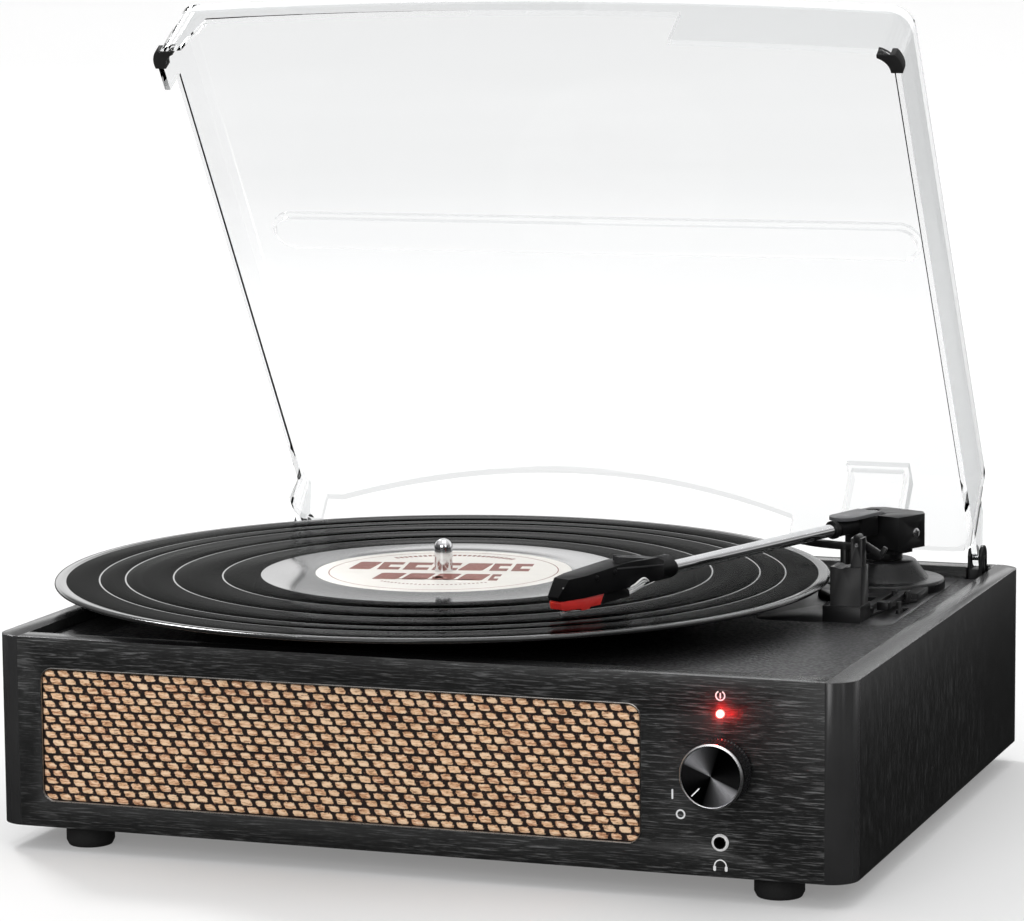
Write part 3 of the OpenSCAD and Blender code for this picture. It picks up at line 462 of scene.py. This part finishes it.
def sweep(path, radius, sides, closed=False):
    """A round bar along points."""
    verts, faces = [], []
    count = len(path)
    up = None
    for i, p in enumerate(path):
        a = path[i - 1] if closed or i else path[i]
        b = path[(i + 1) % count] if closed or i < count - 1 else path[i]
        t = (Vector(b) - Vector(a)).normalized()
        if up is None:
            up = t.orthogonal().normalized()
        up = (up - t * up.dot(t)).normalized()
        side = t.cross(up)
        for k in range(sides):
            c = 2 * math.pi * k / sides
            verts.append(tuple(Vector(p) + (up * math.cos(c) + side * math.sin(c)) * radius))
    for i in range(count if closed else count - 1):
        j = (i + 1) % count
        for k in range(sides):
            n = (k + 1) % sides
            faces.append((i * sides + k, i * sides + n, j * sides + n, j * sides + k))
    if not closed:
        faces.append(tuple(range(sides))[::-1])
        faces.append(tuple(range((count - 1) * sides, count * sides)))
    return verts, faces


def arc(cx, cy, r, a0, a1, n):
    return [(cx + r * math.cos(math.radians(a0 + (a1 - a0) * k / n)),
             cy + r * math.sin(math.radians(a0 + (a1 - a0) * k / n))) for k in range(n + 1)]


def band(cx, cy, r0, r1, a0, a1, n):
    """Outline of a flat ring, or of a part of one."""
    return arc(cx, cy, r1, a0, a1, n) + arc(cx, cy, r0, a1, a0, n)


def round_rect(w, d, r, n):
    out = []
    for cx, cy, a in ((1, 1, 0), (-1, 1, 90), (-1, -1, 180), (1, -1, 270)):
        out += arc(cx * (w / 2 - r), cy * (d / 2 - r), r, a, a + 90, n)
    return out


def at(x, y, z, rot=None):
    m = Matrix.Translation(Vector((x, y, z)) * MM)
    return m @ rot.to_4x4() if rot is not None else m


def spin(degrees, axis):
    return Matrix.Rotation(math.radians(degrees), 3, axis)


def mm(vector):
    return Vector(vector) * 1000.0


TO_FRONT = spin(90, "X")
FULL_RING = 359.9  # a ring's outline stops just short of its own start


# ---- places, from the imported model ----

FRONT = mm(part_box("cabinet_front")[0]).y
RIM = mm(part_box("cabinet_rear")[1]).z
SEAM = mm(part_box("cabinet_front")[1])
DISC = (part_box("record")[0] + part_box("record")[1]) / 2
disc_low, disc_high = (mm(v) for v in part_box("record"))
DISC_MM = mm(DISC)
DISC_R = (disc_high.x - disc_low.x) / 2
HOLE_R, LABEL_R = 3.63, 50.0
TRACK_GAPS = (86.0, 105.0, 123.5, 133.5)
GROOVES_FROM, GROOVES_TO = 71.3, 146.2
knob_axis = mm(JOINTS["volume_turn"]["pos_m"])
jack_box = [mm(v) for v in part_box("headphone_jack")]
led_box = [mm(v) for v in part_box("power_led")]
cloth_low, cloth_high = (mm(v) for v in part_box("grille_cloth"))

swing = Vector(JOINTS["arm_swing"]["pos_m"])
lift_pos = Vector(JOINTS["arm_lift"]["pos_m"])
lift_axis = Vector(JOINTS["arm_lift"]["axis"]).normalized()
forward = Vector((0, 0, 1)).cross(lift_axis)
across = Vector((0, 0, 1)).cross(forward)
LIFT_DROP = 5.1  # height of the lift axis over the arm's own zero
ARM_TILT = 1.9  # the arm dips towards the nose, in degrees
LEVEL = Matrix.Translation((swing.x, swing.y, lift_pos.z + LIFT_DROP * MM)) @ Matrix(
    (forward, across, (0, 0, 1))).transposed().to_4x4()
TILTED = LEVEL @ Matrix.Rotation(math.radians(ARM_TILT), 4, "Y")

# ---- materials of the carried over nodes ----

MATS = {
    "wood": woodgrain(),
    "plate": leather("plate_leather", (0.02, 0.02, 0.021), 0.42),
    "sub_plate": plastic("sub_plate_satin", (0.016, 0.016, 0.017), 0.38, 0.3, 0.2),
    "board": plastic("stained_board", (0.09, 0.07, 0.055), 0.7, 0.6, 0.4),
    "baffle": plastic("baffle_black", (0.012, 0.011, 0.01), 0.8, 0.5, 0.4),
    "steel_paint": plastic("painted_steel", (0.03, 0.03, 0.032), 0.4),
    "pulp": plastic("cone_pulp", (0.02, 0.02, 0.02), 0.85, 0.5, 0.6),
    "ferrite": plastic("ferrite", (0.08, 0.08, 0.085), 0.6, 0.3, 0.4),
    "led": glow("led_glow", (1.0, 0.02, 0.015), 5.0),
    "nickel": metal("nickel", (0.78, 0.77, 0.75), 0.16),
    "jack": jack_mat(),
    "pcb": plastic("board_green", (0.01, 0.09, 0.035), 0.35),
    "parts": plastic("component_cases", (0.02, 0.022, 0.09), 0.4),
    "zinc": metal("zinc_plate", (0.5, 0.5, 0.5), 0.32, (1, 1, 14)),
    "socket": plastic("socket_black", (0.012, 0.012, 0.013), 0.3),
    "rubber": plastic("foot_rubber", (0.012, 0.012, 0.012), 0.75, 0.25, 0.5),
    "screw": metal("screw_steel", (0.6, 0.6, 0.61), 0.25),
    "hinge": plastic("hinge_black", (0.007, 0.007, 0.0075), 0.4, Specular_IOR_Level=0.3),
    "brass": metal("turned_brass", (0.75, 0.56, 0.26), 0.25, (1, 1, 10)),
    "belt": plastic("belt_rubber", (0.01, 0.01, 0.01), 0.6),
    "arm": plastic("arm_black", (0.0075, 0.0075, 0.008), 0.4, 0.3, 0.15, Specular_IOR_Level=0.3),
    "collar": plastic("collar_black", (0.007, 0.007, 0.0075), 0.32, 0.3, 0.1, Specular_IOR_Level=0.3),
    "cap": plastic("cap_grey", (0.11, 0.112, 0.118), 0.38, 0.3, 0.1),
    "platter": plastic("platter_black", (0.018, 0.018, 0.019), 0.35),
    "felt": plastic("felt_black", (0.015, 0.015, 0.016), 0.95, 0.4, 0.9, Sheen_Weight=0.2),
    "chrome": metal("polished_chrome", (0.82, 0.82, 0.83), 0.07),
    "vinyl": vinyl_smooth(),
    "grooves": vinyl_grooves(),
    "label": paper("label_paper", (0.86, 0.83, 0.78)),
    "ink": paper("label_ink", (0.23, 0.055, 0.032)),
    "shell": plastic("shell_gloss", (0.005, 0.005, 0.0055), 0.42, 0.3, 0.08, Specular_IOR_Level=0.1),
    # lighter copy of the shell's black for its bars and ledges: a painted highlight on those edges
    "shell_painted_highlight": plastic("shell_painted_highlight", (0.03, 0.03, 0.031), 0.42, 0.3, 0.08),
    # pale grey block on the nose: a painted highlight
    "patch": plastic("nose_painted_highlight", (0.5, 0.5, 0.5), 0.4, 0.3, 0.08),
    "red": plastic("carrier_red", (0.8, 0.04, 0.035), 0.22, 0.3, 0.06, Subsurface_Weight=0.15),
    "acrylic": clear(),
    "print": plastic("print_white", (0.93, 0.94, 0.95), 0.45, 0.3, 0.1),
    "wire_white": plastic("wire_white", (0.93, 0.93, 0.92), 0.4),
    "knob": plastic("knob_black", (0.01, 0.01, 0.011), 0.25),
    "ring": metal("knob_ring", (0.97, 0.97, 0.98), 0.3),
    "trim": metal("grille_trim", (0.42, 0.4, 0.38), 0.3),
}
USES = {
    "wood": "cabinet_front cabinet_rear cabinet_sides", "plate": "top_plate", "sub_plate": "arm_plate",
    "board": "base_panel corner_blocks",
    "baffle": "grille_frame", "steel_paint": "speaker_frames", "pulp": "speaker_cones",
    "ferrite": "speaker_magnets", "led": "power_led", "jack": "headphone_jack", "nickel": "rca_sockets",
    "pcb": "circuit_board", "parts": "board_parts", "zinc": "potentiometer drive_motor",
    "socket": "rear_panel aux_socket dc_socket", "rubber": "feet lid_bumpers",
    "screw": "case_screws hinge_pins motor_screws volume_shaft swing_shaft lift_pins clip_pin",
    "hinge": "hinge_brackets", "brass": "bearing_housing motor_pulley", "belt": "drive_belt",
    "arm": "arm_base arm_rest arm_yoke arm_housing arm_sleeve cue_lever arm_lifter arm_clip speed_lever "
           "stop_lever",
    "collar": "pivot_base", "cap": "sleeve_cap", "platter": "platter", "felt": "slip_mat",
    "chrome": "spindle arm_tube", "label": "record_label", "shell": "headshell cartridge",
    "red": "stylus_carrier", "acrylic": "dust_cover", "knob": "volume_knob", "ring": "knob_ring",
    "vinyl": "record", "wire_white": "stylus",
}
BEVELS = {
    "cabinet_front": 0.7, "cabinet_rear": 0.7, "cabinet_sides": 0.7, "top_plate": 0.4,
    "arm_plate": 0.35, "base_panel": 0.4, "arm_base": 0.4, "arm_rest": 0.35,
    "arm_housing": 0.6, "arm_sleeve": 0.3, "sleeve_cap": 0.35, "headshell": 0.35, "cartridge": 0.3,
    "stylus_carrier": 0.35, "cue_lever": 0.3, "arm_clip": 0.25, "speed_lever": 0.25, "stop_lever": 0.2,
    "arm_lifter": 0.3, "arm_yoke": 0.25, "hinge_brackets": 0.3, "rear_panel": 0.3,
    "lid_bumpers": 0.3, "feet": 0.3, "pivot_base": 0.3,
}
for key, names in USES.items():
    for name in names.split():
        node = NODES[name]
        node.data.materials.clear()
        node.data.materials.append(MATS[key])
        if name in BEVELS:
            finish_edges(node, 32.0, BEVELS[name], weld=True)
for name in ("spindle", "arm_tube", "record_label", "power_led", "knob_ring", "headphone_jack"):
    smooth_faces(NODES[name].data)


# ---- record and label ----

def record_profile():
    """Section of the record from the hole out along the top and back underneath."""
    half = (disc_high.z - disc_low.z) / 2
    label, run_out, groove, gap_floor = half - 0.2, half - 0.25, half - 0.22, half - 0.27
    top = [(HOLE_R, label), (20.0, label), (LABEL_R, label), (LABEL_R, half), (52.0, half), (54.0, run_out),
           (71.2, run_out), (71.5, groove)]
    for gap in TRACK_GAPS:
        top += [(gap - 0.5, groove), (gap - 0.3, gap_floor), (gap + 0.3, gap_floor), (gap + 0.5, groove)]
    top += [(DISC_R - 4.8, groove), (DISC_R - 4.5, run_out), (DISC_R - 3.6, half - 0.04),
            (DISC_R - 2.6, half), (DISC_R - 1.2, half - 0.02)]
    lip = 0.7
    edge = [(DISC_R - lip + lip * math.cos(a), (half - 0.2) * math.sin(a))
            for a in map(math.radians, (70, 45, 20, 0))]
    upper = top + edge
    return upper + [(r, -h) for r, h in reversed(upper[:-1])]


disc = build("record_disc", *lathe(record_profile(), 360), "platter", MATS["vinyl"], "vinyl_record",
             at(*DISC_MM), 40, replaces=["record"])
disc.data.materials.append(MATS["grooves"])
for face in disc.data.polygons:
    from_axis = (mm(face.center) - DISC_MM).xy.length
    between = any(abs(from_axis - gap) < 0.35 for gap in TRACK_GAPS)
    if GROOVES_FROM < from_axis < GROOVES_TO and not between:
        face.material_index = 1


def label_print():
    """Generic print: a fine ring, rows of plain bars and short arcs, standing in for lettering."""
    outlines = [band(0, 0, 44.6, 45.0, 0, FULL_RING, 120)]
    widths, gap, ink = (7.0, 8.6, 9.8), 1.6, 0.03
    rng = random.Random(11)
    for y, h, half in ((10.3, 18.0, 37), (-14.3, 15.0, 24)):
        x = -half
        while x < half - 3:
            w = min(rng.choice(widths), half - x)
            if rng.random() < 0.5:
                notch = x + w * 0.42
                outlines.append([(x, y - h / 2), (x + w, y - h / 2), (x + w, y - h / 6), (notch, y - h / 6),
                                 (notch, y + h / 6), (x + w, y + h / 6), (x + w, y + h / 2), (x, y + h / 2)])
            else:
                outlines.append([(px + x + w / 2 + 0.12 * py, py + y) for px, py in round_rect(w, h, 1.2, 3)])
            x += w + gap
    for k in range(26):
        a = 52 + k * 3.0
        outlines.append(band(0, 0, 36.5, 39.5, a, a + 2.0, 3))
        outlines.append(band(0, 0, 32.5, 33.6, a + 180, a + 181.6, 3))
    outlines.append([(px, py - 20.5) for px, py in round_rect(30, 1.4, 0.6, 3)])
    outlines.append(band(0, -15.5, 0, 2.2, 0, FULL_RING, 24))
    return join(*[prism(outline, 0, ink) for outline in outlines])


label_top = mm(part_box("record_label")[1]).z
build("label_print", *label_print(), "platter", MATS["ink"], "label_paper",
      at(DISC_MM.x, DISC_MM.y, label_top - 0.01, spin(12, "Z")), 40)


# ---- speaker cloth: a woven sheet with a rise for every bundle of thread ----

def hump(t, power):
    """Round bump: 1 in the middle, falling to 0 where t reaches 1 either way."""
    return max(0.0, 1.0 - abs(t) ** power) ** 0.5


def cloth():
    """The sheet over the speakers, with the height and tint of each bundle stored for the material."""
    wide, tall = cloth_high.x - cloth_low.x, cloth_high.z - cloth_low.z
    cols, rows = 40, 17
    nu, nv = cols * 10, rows * 8
    corner, rise, hem = 4.6, 0.95, 0.8
    bundle_w, bundle_h = 0.39, 0.43
    verts, faces, weave, tint = [], [], [], []
    rng = random.Random(3)
    tints = [[rng.random() for _ in range(cols + 2)] for _ in range(rows)]
    vary = [[(rng.uniform(-0.05, 0.05), rng.uniform(-0.05, 0.05), rng.uniform(0.92, 1.08))
             for _ in range(cols + 2)] for _ in range(rows)]
    for j in range(nv + 1):
        v = j / nv * rows
        row = min(rows - 1, int(v))
        fv = v - row
        for i in range(nu + 1):
            u = i / nu * cols + 0.5 * (row % 2)
            col = int(u)
            du, dv, size = vary[row][col]
            slant = 0.22 * (fv - 0.5)
            h = hump((u - col - 0.5 + slant + du) / (bundle_w * size), 2.2)
            h *= hump((fv - 0.5 + dv) / (bundle_h * size), 2.0)
            x, z = -wide / 2 + wide * i / nu, -tall / 2 + tall * j / nv
            dx, dz = abs(x) - (wide / 2 - corner), abs(z) - (tall / 2 - corner)
            if dx > 0 and dz > 0 and math.hypot(dx, dz) > corner:
                k = corner / math.hypot(dx, dz)
                x = math.copysign(wide / 2 - corner + dx * k, x)
                z = math.copysign(tall / 2 - corner + dz * k, z)
            edge = min(1.0, (wide / 2 - abs(x)) / hem, (tall / 2 - abs(z)) / hem)
            verts.append((x, -rise * h * max(0.0, edge), z))
            weave.append(h)
            tint.append(tints[row][col])
    for j in range(nv):
        for i in range(nu):
            a = j * (nu + 1) + i
            faces.append((a, a + 1, a + nu + 2, a + nu + 1))
    mesh = bpy.data.meshes.new("speaker_weave")
    mesh.from_pydata([Vector(v) * MM for v in verts], [], faces)
    mesh.transform(at((cloth_low.x + cloth_high.x) / 2, cloth_low.y + 0.5, (cloth_low.z + cloth_high.z) / 2))
    for name, values in (("weave", weave), ("tint", tint)):
        mesh.attributes.new(name, "FLOAT", "POINT").data.foreach_set("value", values)
    smooth_faces(mesh)
    obj = bpy.data.objects.new("speaker_weave", mesh)
    bpy.context.scene.collection.objects.link(obj)
    mesh.materials.append(fabric_mat())
    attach(obj, "cabinet")
    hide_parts("grille_cloth")


cloth()

# thin trim round the cloth
TRIM_OUT = 0.7
trim_wide, trim_tall = cloth_high.x - cloth_low.x + TRIM_OUT, cloth_high.z - cloth_low.z + TRIM_OUT
trim_path = [((cloth_low.x + cloth_high.x) / 2 + x, FRONT + 0.25, (cloth_low.z + cloth_high.z) / 2 + z)
             for x, z in round_rect(trim_wide, trim_tall, 4.8, 8)]
build("grille_trim", *sweep(trim_path, 0.38, 8, closed=True), "cabinet", MATS["trim"], "knob_silver")


# ---- front signs, generic ----

def front_print(name, outlines, x, z):
    raised = [prism(outline, 0, 0.04) for outline in outlines]
    build(name, *join(*raised), "cabinet", MATS["print"], "knob_silver", at(x, FRONT, z, TO_FRONT), 40)


front_print("sign_power", [band(0, 0, 1.35, 1.85, -245, 65, 40), round_rect(0.5, 2.0, 0.2, 3)],
            knob_axis.x, RIM - 6.6)
front_print("sign_on", [round_rect(0.65, 3.6, 0.3, 4)], knob_axis.x - 17.5, RIM - 42.5)
front_print("sign_off", [band(0, 0, 1.15, 1.75, 0, FULL_RING, 40)], knob_axis.x - 14.5, RIM - 49.5)
ear_pads = [[(px + side, py - 0.9) for px, py in round_rect(1.0, 1.9, 0.4, 4)] for side in (-2.1, 2.1)]
front_print("sign_headphones", [band(0, 0, 1.9, 2.35, 0, 180, 24), *ear_pads], knob_axis.x, RIM - 67.0)


# ---- volume knob ----

def knob():
    """Skirt with grip flutes, turned face, bright bezel and a pointer mark."""
    knob_low, knob_high = (mm(v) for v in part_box("volume_knob"))
    spot = at(knob_axis.x, FRONT, knob_axis.z, TO_FRONT)
    r = (knob_high.x - knob_low.x) / 2
    face, back = FRONT - mm(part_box("knob_ring")[0]).y, FRONT - knob_high.y
    segs, segs_per_flute, fluted_rings = 240, 4, (4, 5)
    skirt = [(r - 2.2, back), (r - 0.5, back + 0.05), (r - 0.05, back + 0.8), (r - 0.05, back + 1.4),
             (r - 0.45, back + 1.8), (r - 0.5, face - 2.1), (r - 0.3, face - 1.7), (r - 0.3, face - 1.35),
             (r - 2.0, face - 1.35), (r - 2.0, back + 2.0)]
    verts, faces = lathe(skirt, segs)
    for i, (x, y, z) in enumerate(verts):
        if i // segs in fluted_rings and i % segs_per_flute == 0:
            verts[i] = (x * 0.985, y * 0.985, z)
    build("knob_skirt", verts, faces, "knob", MATS["knob"], "knob_black", spot, 50)
    cap = [(0, face - 0.55), (2.0, face - 0.5), (r - 2.0, face - 0.32), (r - 1.2, face - 0.3),
           (r - 1.08, face - 0.5), (r - 1.08, face - 1.3), (0, face - 1.3)]
    turned_metal = spun("knob_spun", (0.07, 0.07, 0.073), 0.4, knob_axis * MM, 1)
    build("knob_face", *lathe(cap, 128), "knob", turned_metal, "knob_black", spot, 50,
          replaces=["volume_knob"])
    bezel = [(r - 1.08, face - 1.35), (r - 1.08, face - 0.15), (r - 0.98, face - 0.02), (r - 0.8, face),
             (r - 0.6, face - 0.12), (r - 0.3, face - 0.72), (r - 0.22, face - 0.95), (r - 0.3, face - 1.3)]
    build("knob_bezel", *lathe(bezel, 128), "knob", MATS["ring"], "knob_silver", spot, 60,
          replaces=["knob_ring"])
    a = math.radians(226)
    mark = [(x * math.cos(a) - y * math.sin(a), x * math.sin(a) + y * math.cos(a))
            for x, y in [(px + 7.9, py) for px, py in round_rect(4.2, 0.45, 0.2, 3)]]
    build("knob_mark", *prism(mark, face - 0.55, face - 0.26), "knob", MATS["print"], "knob_silver", spot, 40)


knob()


# ---- tonearm detail ----

def screw(name, x, y, z, r, rot=None):
    """Domed head with two thin dark bars across it, painted shade standing in for the slots."""
    head = lathe([(0, 0), (r, 0), (r, 0.35), (r * 0.86, 0.6), (r * 0.5, 0.72), (0, 0.75)], 32)
    slot = block(-r * 0.62, -0.17, 0.6, r * 0.62, 0.17, 0.79)
    cross = join(moved(slot, spin(20, "Z")), moved(slot, spin(110, "Z")))
    spot = LEVEL @ at(x, y, z, rot)
    build(name + "_head", *head, "arm", MATS["screw"], "screw_steel", spot, 40)
    build(name + "_painted_slot_shade", *cross, "arm", MATS["socket"], "socket_black", spot, 40)


def tube_collars():
    """Rings at both ends of the arm tube."""
    bore = 2.5
    for name, x, r, w in (("tube_collar_rear", 30.2, 3.6, 2.2), ("tube_collar_front", 127.0, 3.1, 3.0)):
        ring = lathe([(bore, 0), (r - 0.25, 0), (r, 0.25), (r, w - 0.25), (r - 0.25, w), (bore, w)], 48)
        build(name, *ring, "arm", MATS["arm"], "arm_black", TILTED @ at(x, 0, 0, spin(90, "Y")), 40)


def shell_details():
    """Bars that climb towards the middle of the headshell, and ledges with rivets along its sides."""
    rear = 138.0
    for name, y0, y1, front in (("shell_bar_far", -2.6, -0.5, 157.5), ("shell_bar_near", 0.9, 3.1, 160.5)):
        verts, faces = block(rear, y0, 0.0, front, y1, 1.0)
        verts = [(x, y, 4.4 + (1.0 if x == rear else 3.8) * z + (x - rear) * 0.06) for x, y, z in verts]
        build(name, verts, faces, "arm", MATS["shell_painted_highlight"], "shell_black", TILTED, 30, bevel=0.25)
    for s, side in ((-1, "far"), (1, "near")):
        verts, faces = block(rear, s * 5.2 - 0.35, 0.0, 164.0, s * 5.2 + 0.35, 0.6)
        verts = [(x, y, z + 2.9 + (x - rear) * 0.1) for x, y, z in verts]
        build("shell_ledge_" + side, verts, faces, "arm", MATS["shell_painted_highlight"], "shell_black", TILTED, 30,
              bevel=0.15)
        for k, (x, z) in enumerate(((165.2, 4.6), (175.0, 4.0))):
            rivet = lathe([(0, 0), (1.1, 0), (1.1, 0.5), (0.8, 0.8), (0, 0.9)], 24)
            build(f"shell_rivet_{side}_{k}", *rivet, "arm", MATS["shell"], "shell_black",
                  TILTED @ at(x, s * 5.1, z, spin(-90 * s, "X")), 30)


def nose_painted_highlight():
    """Small pale block on the near side of the nose, slanted with the nose: a painted highlight."""
    rear = 184.6
    verts, faces = block(rear, 3.9, 1.5, 190.6, 4.3, 2.7)
    verts = [(x, y - (x - rear) * 0.21, z) for x, y, z in verts]
    build("nose_painted_highlight", verts, faces, "arm", MATS["patch"], "cap_grey", TILTED, 30, bevel=0.15)


def leads():
    """Pale leads that bow out past the near side between the cartridge and the shell, each with a clip."""
    for k, (low, mid) in enumerate(((-3.0, -0.3), (-3.7, -1.5), (-4.4, -2.7), (-5.0, -3.4))):
        bow = 6.2 - 0.35 * k
        path = smooth_path([(157.0, 3.6, low), (155.6, bow, low * 0.5 + mid * 0.5), (150.5, bow, mid + 0.5),
                            (145.6 + k, 4.6, -1.9)], 16)
        build(f"lead_{k}", *sweep(path, 0.42, 10), "arm", MATS["wire_white"], "cap_grey", TILTED, 60)
        clip = lathe([(0, 0), (0.5, 0), (0.5, 1.3), (0.35, 1.6), (0, 1.6)], 20)
        build(f"lead_clip_{k}", *clip, "arm", MATS["nickel"], "nickel",
              TILTED @ at(155.4, 3.6, low, spin(90, "Y")), 40)


def smooth_path(points, count):
    """A smooth run through a few points."""
    pts = [Vector(p) for p in points]
    pts = [pts[0] * 2 - pts[1]] + pts + [pts[-1] * 2 - pts[-2]]
    out = []
    spans = len(pts) - 3
    for i in range(count + 1):
        t = i / count * spans
        k = min(int(t), spans - 1)
        t -= k
        a, b, c, d = pts[k:k + 4]
        out.append(tuple(0.5 * ((2 * b) + (c - a) * t + (2 * a - 5 * b + 4 * c - d) * t * t
                                + (3 * b - a - 3 * c + d) * t ** 3)))
    return out


screw("pivot_screw", -4.5, 13.3, -5.1, 2.0, spin(-90, "X"))
screw("pivot_screw_far", -4.5, -13.3, -5.1, 2.0, spin(90, "X"))
screw("housing_screw", -3.5, -8.0, 1.35, 2.4)
tube_collars()
shell_details()
nose_painted_highlight()
leads()


# ---- stage, light and camera ----

def stage():
    """Pale sweep: a floor that curves up far behind the object and fades to white."""
    near, far, curve, half_width, top = -6.0, 6.0, 4.0, 16.0, 14.0
    bend = [(far + curve * math.sin(a), curve - curve * math.cos(a))
            for a in map(math.radians, range(10, 91, 10))]
    profile = [(near, 0.0), (far, 0.0), *bend, (far + curve, top)]
    verts = [(x, y, z) for y, z in profile for x in (-half_width, half_width)]
    faces = [(2 * k, 2 * k + 1, 2 * k + 3, 2 * k + 2) for k in range(len(profile) - 1)]
    mesh = bpy.data.meshes.new("floor")
    mesh.from_pydata(verts, [], faces)
    obj = bpy.data.objects.new("floor", mesh)
    bpy.context.scene.collection.objects.link(obj)
    obj.visible_glossy = False
    smooth_faces(mesh)
    m = Mat("floor_white", (0.6, 0.6, 0.6), 0.9)
    m.put("Base Color", m.mix(m.spread(m.noise(2.0, 3.0)), (0.59, 0.59, 0.59), (0.61, 0.61, 0.61)))
    m.put("Emission Color", (1.0, 1.0, 1.0))
    _, y, z = m.xyz()
    m.put("Emission Strength", m.math("ADD", m.span(y, 0.2, 3.0, 0.22, 0.55), m.span(z, 0.2, 3.0, 0.0, 0.28)))
    mesh.materials.append(m.mat)


def studio():
    """White overhead and behind, dim in front and under the horizon."""
    world = bpy.data.worlds.new("studio")
    world.use_nodes = True
    tree = world.node_tree

    def link(kind, ins, **attrs):
        n = tree.nodes.new(kind)
        for key, value in attrs.items():
            setattr(n, key, value)
        for key, value in ins.items():
            if isinstance(value, bpy.types.NodeSocket):
                tree.links.new(value, n.inputs[key])
            else:
                n.inputs[key].default_value = value
        return n.outputs[0]

    def ramp(socket, low, high, to_low, to_high):
        return link("ShaderNodeMapRange", {0: socket, 1: low, 2: high, 3: to_low, 4: to_high},
                    interpolation_type="SMOOTHSTEP")

    def combine(op, one, two):
        return link("ShaderNodeMath", {0: one, 1: two}, operation=op)

    coord = tree.nodes.new("ShaderNodeTexCoord")
    split = tree.nodes.new("ShaderNodeSeparateXYZ")
    tree.links.new(coord.outputs["Generated"], split.inputs[0])
    _, rearward, upward = split.outputs
    behind = ramp(rearward, -0.35, 0.5, 0.1, 0.3)
    over = ramp(upward, -0.1, 0.1, 0.08, 1.0)
    strip = combine("MULTIPLY", ramp(upward, 0.05, 0.12, 0.0, 1.3), ramp(upward, 0.2, 0.3, 1.0, 0.0))
    strip = combine("MULTIPLY", strip, ramp(rearward, 0.3, 0.7, 0.0, 1.0))
    rise = ramp(upward, 0.3, 0.85, 0.0, 0.7)
    sky = combine("ADD", combine("ADD", combine("MULTIPLY", behind, over), strip), rise)
    tree.links.new(sky, tree.nodes["Background"].inputs[1])
    tree.nodes["Background"].inputs[0].default_value = (1, 1, 1, 1)
    bpy.context.scene.world = world


def softbox(name, spot, aim, size, power):
    data = bpy.data.lights.new(name, "AREA")
    data.shape = "RECTANGLE"
    data.size, data.size_y = size
    data.energy = power
    obj = bpy.data.objects.new(name, data)
    obj.location = spot
    obj.rotation_euler = (Vector(aim) - Vector(spot)).to_track_quat("-Z", "Y").to_euler()
    bpy.context.scene.collection.objects.link(obj)


def led_light():
    """The power light tints the wrap around it."""
    data = bpy.data.lights.new("led_halo", "POINT")
    data.energy = 0.004
    data.color = (1.0, 0.02, 0.02)
    data.shadow_soft_size = 0.001
    obj = bpy.data.objects.new("led_halo", data)
    middle = (led_box[0] + led_box[1]) / 2
    obj.location = Vector((middle.x, FRONT - 4.0, middle.z)) * MM
    bpy.context.scene.collection.objects.link(obj)


def camera():
    """The photo's view: place, direction, focal length and shift solved from the cabinet's edges."""
    az, el, roll = (math.radians(a) for a in (18.79, 7.53, -0.31))
    back = Vector((math.sin(az) * math.cos(el), -math.cos(az) * math.cos(el), math.sin(el)))
    right = (-back).cross(Vector((0, 0, 1))).normalized()
    up = right.cross(-back).normalized()
    data = bpy.data.cameras.new("camera")
    data.sensor_width = 36.0
    data.lens = 136.65
    data.shift_x = -0.0701
    data.shift_y = -0.0069
    data.clip_end = 100.0
    cam = bpy.data.objects.new("camera", data)
    turn = Matrix((right, up, back)).transposed().to_4x4() @ Matrix.Rotation(roll, 4, "Z")
    cam.matrix_world = Matrix.Translation((0.4988, -1.4023, 0.3334)) @ turn
    bpy.context.scene.collection.objects.link(cam)
    bpy.context.scene.camera = cam


stage()
studio()
led_light()
softbox("key_back_left", (-1.5, 1.3, 1.9), (-0.05, 0.0, 0.05), (0.5, 0.5), 34)
softbox("top", (0.2, 0.1, 2.4), (0.0, 0.0, 0.0), (2.2, 1.6), 14)
softbox("front_right", (1.9, -1.6, 1.3), (0.1, -0.05, 0.05), (1.0, 1.4), 6)
softbox("front", (-0.2, -2.6, 1.1), (0.0, -0.1, 0.05), (1.6, 1.0), 20)
bpy.context.scene.view_settings.view_transform = "Standard"
camera()
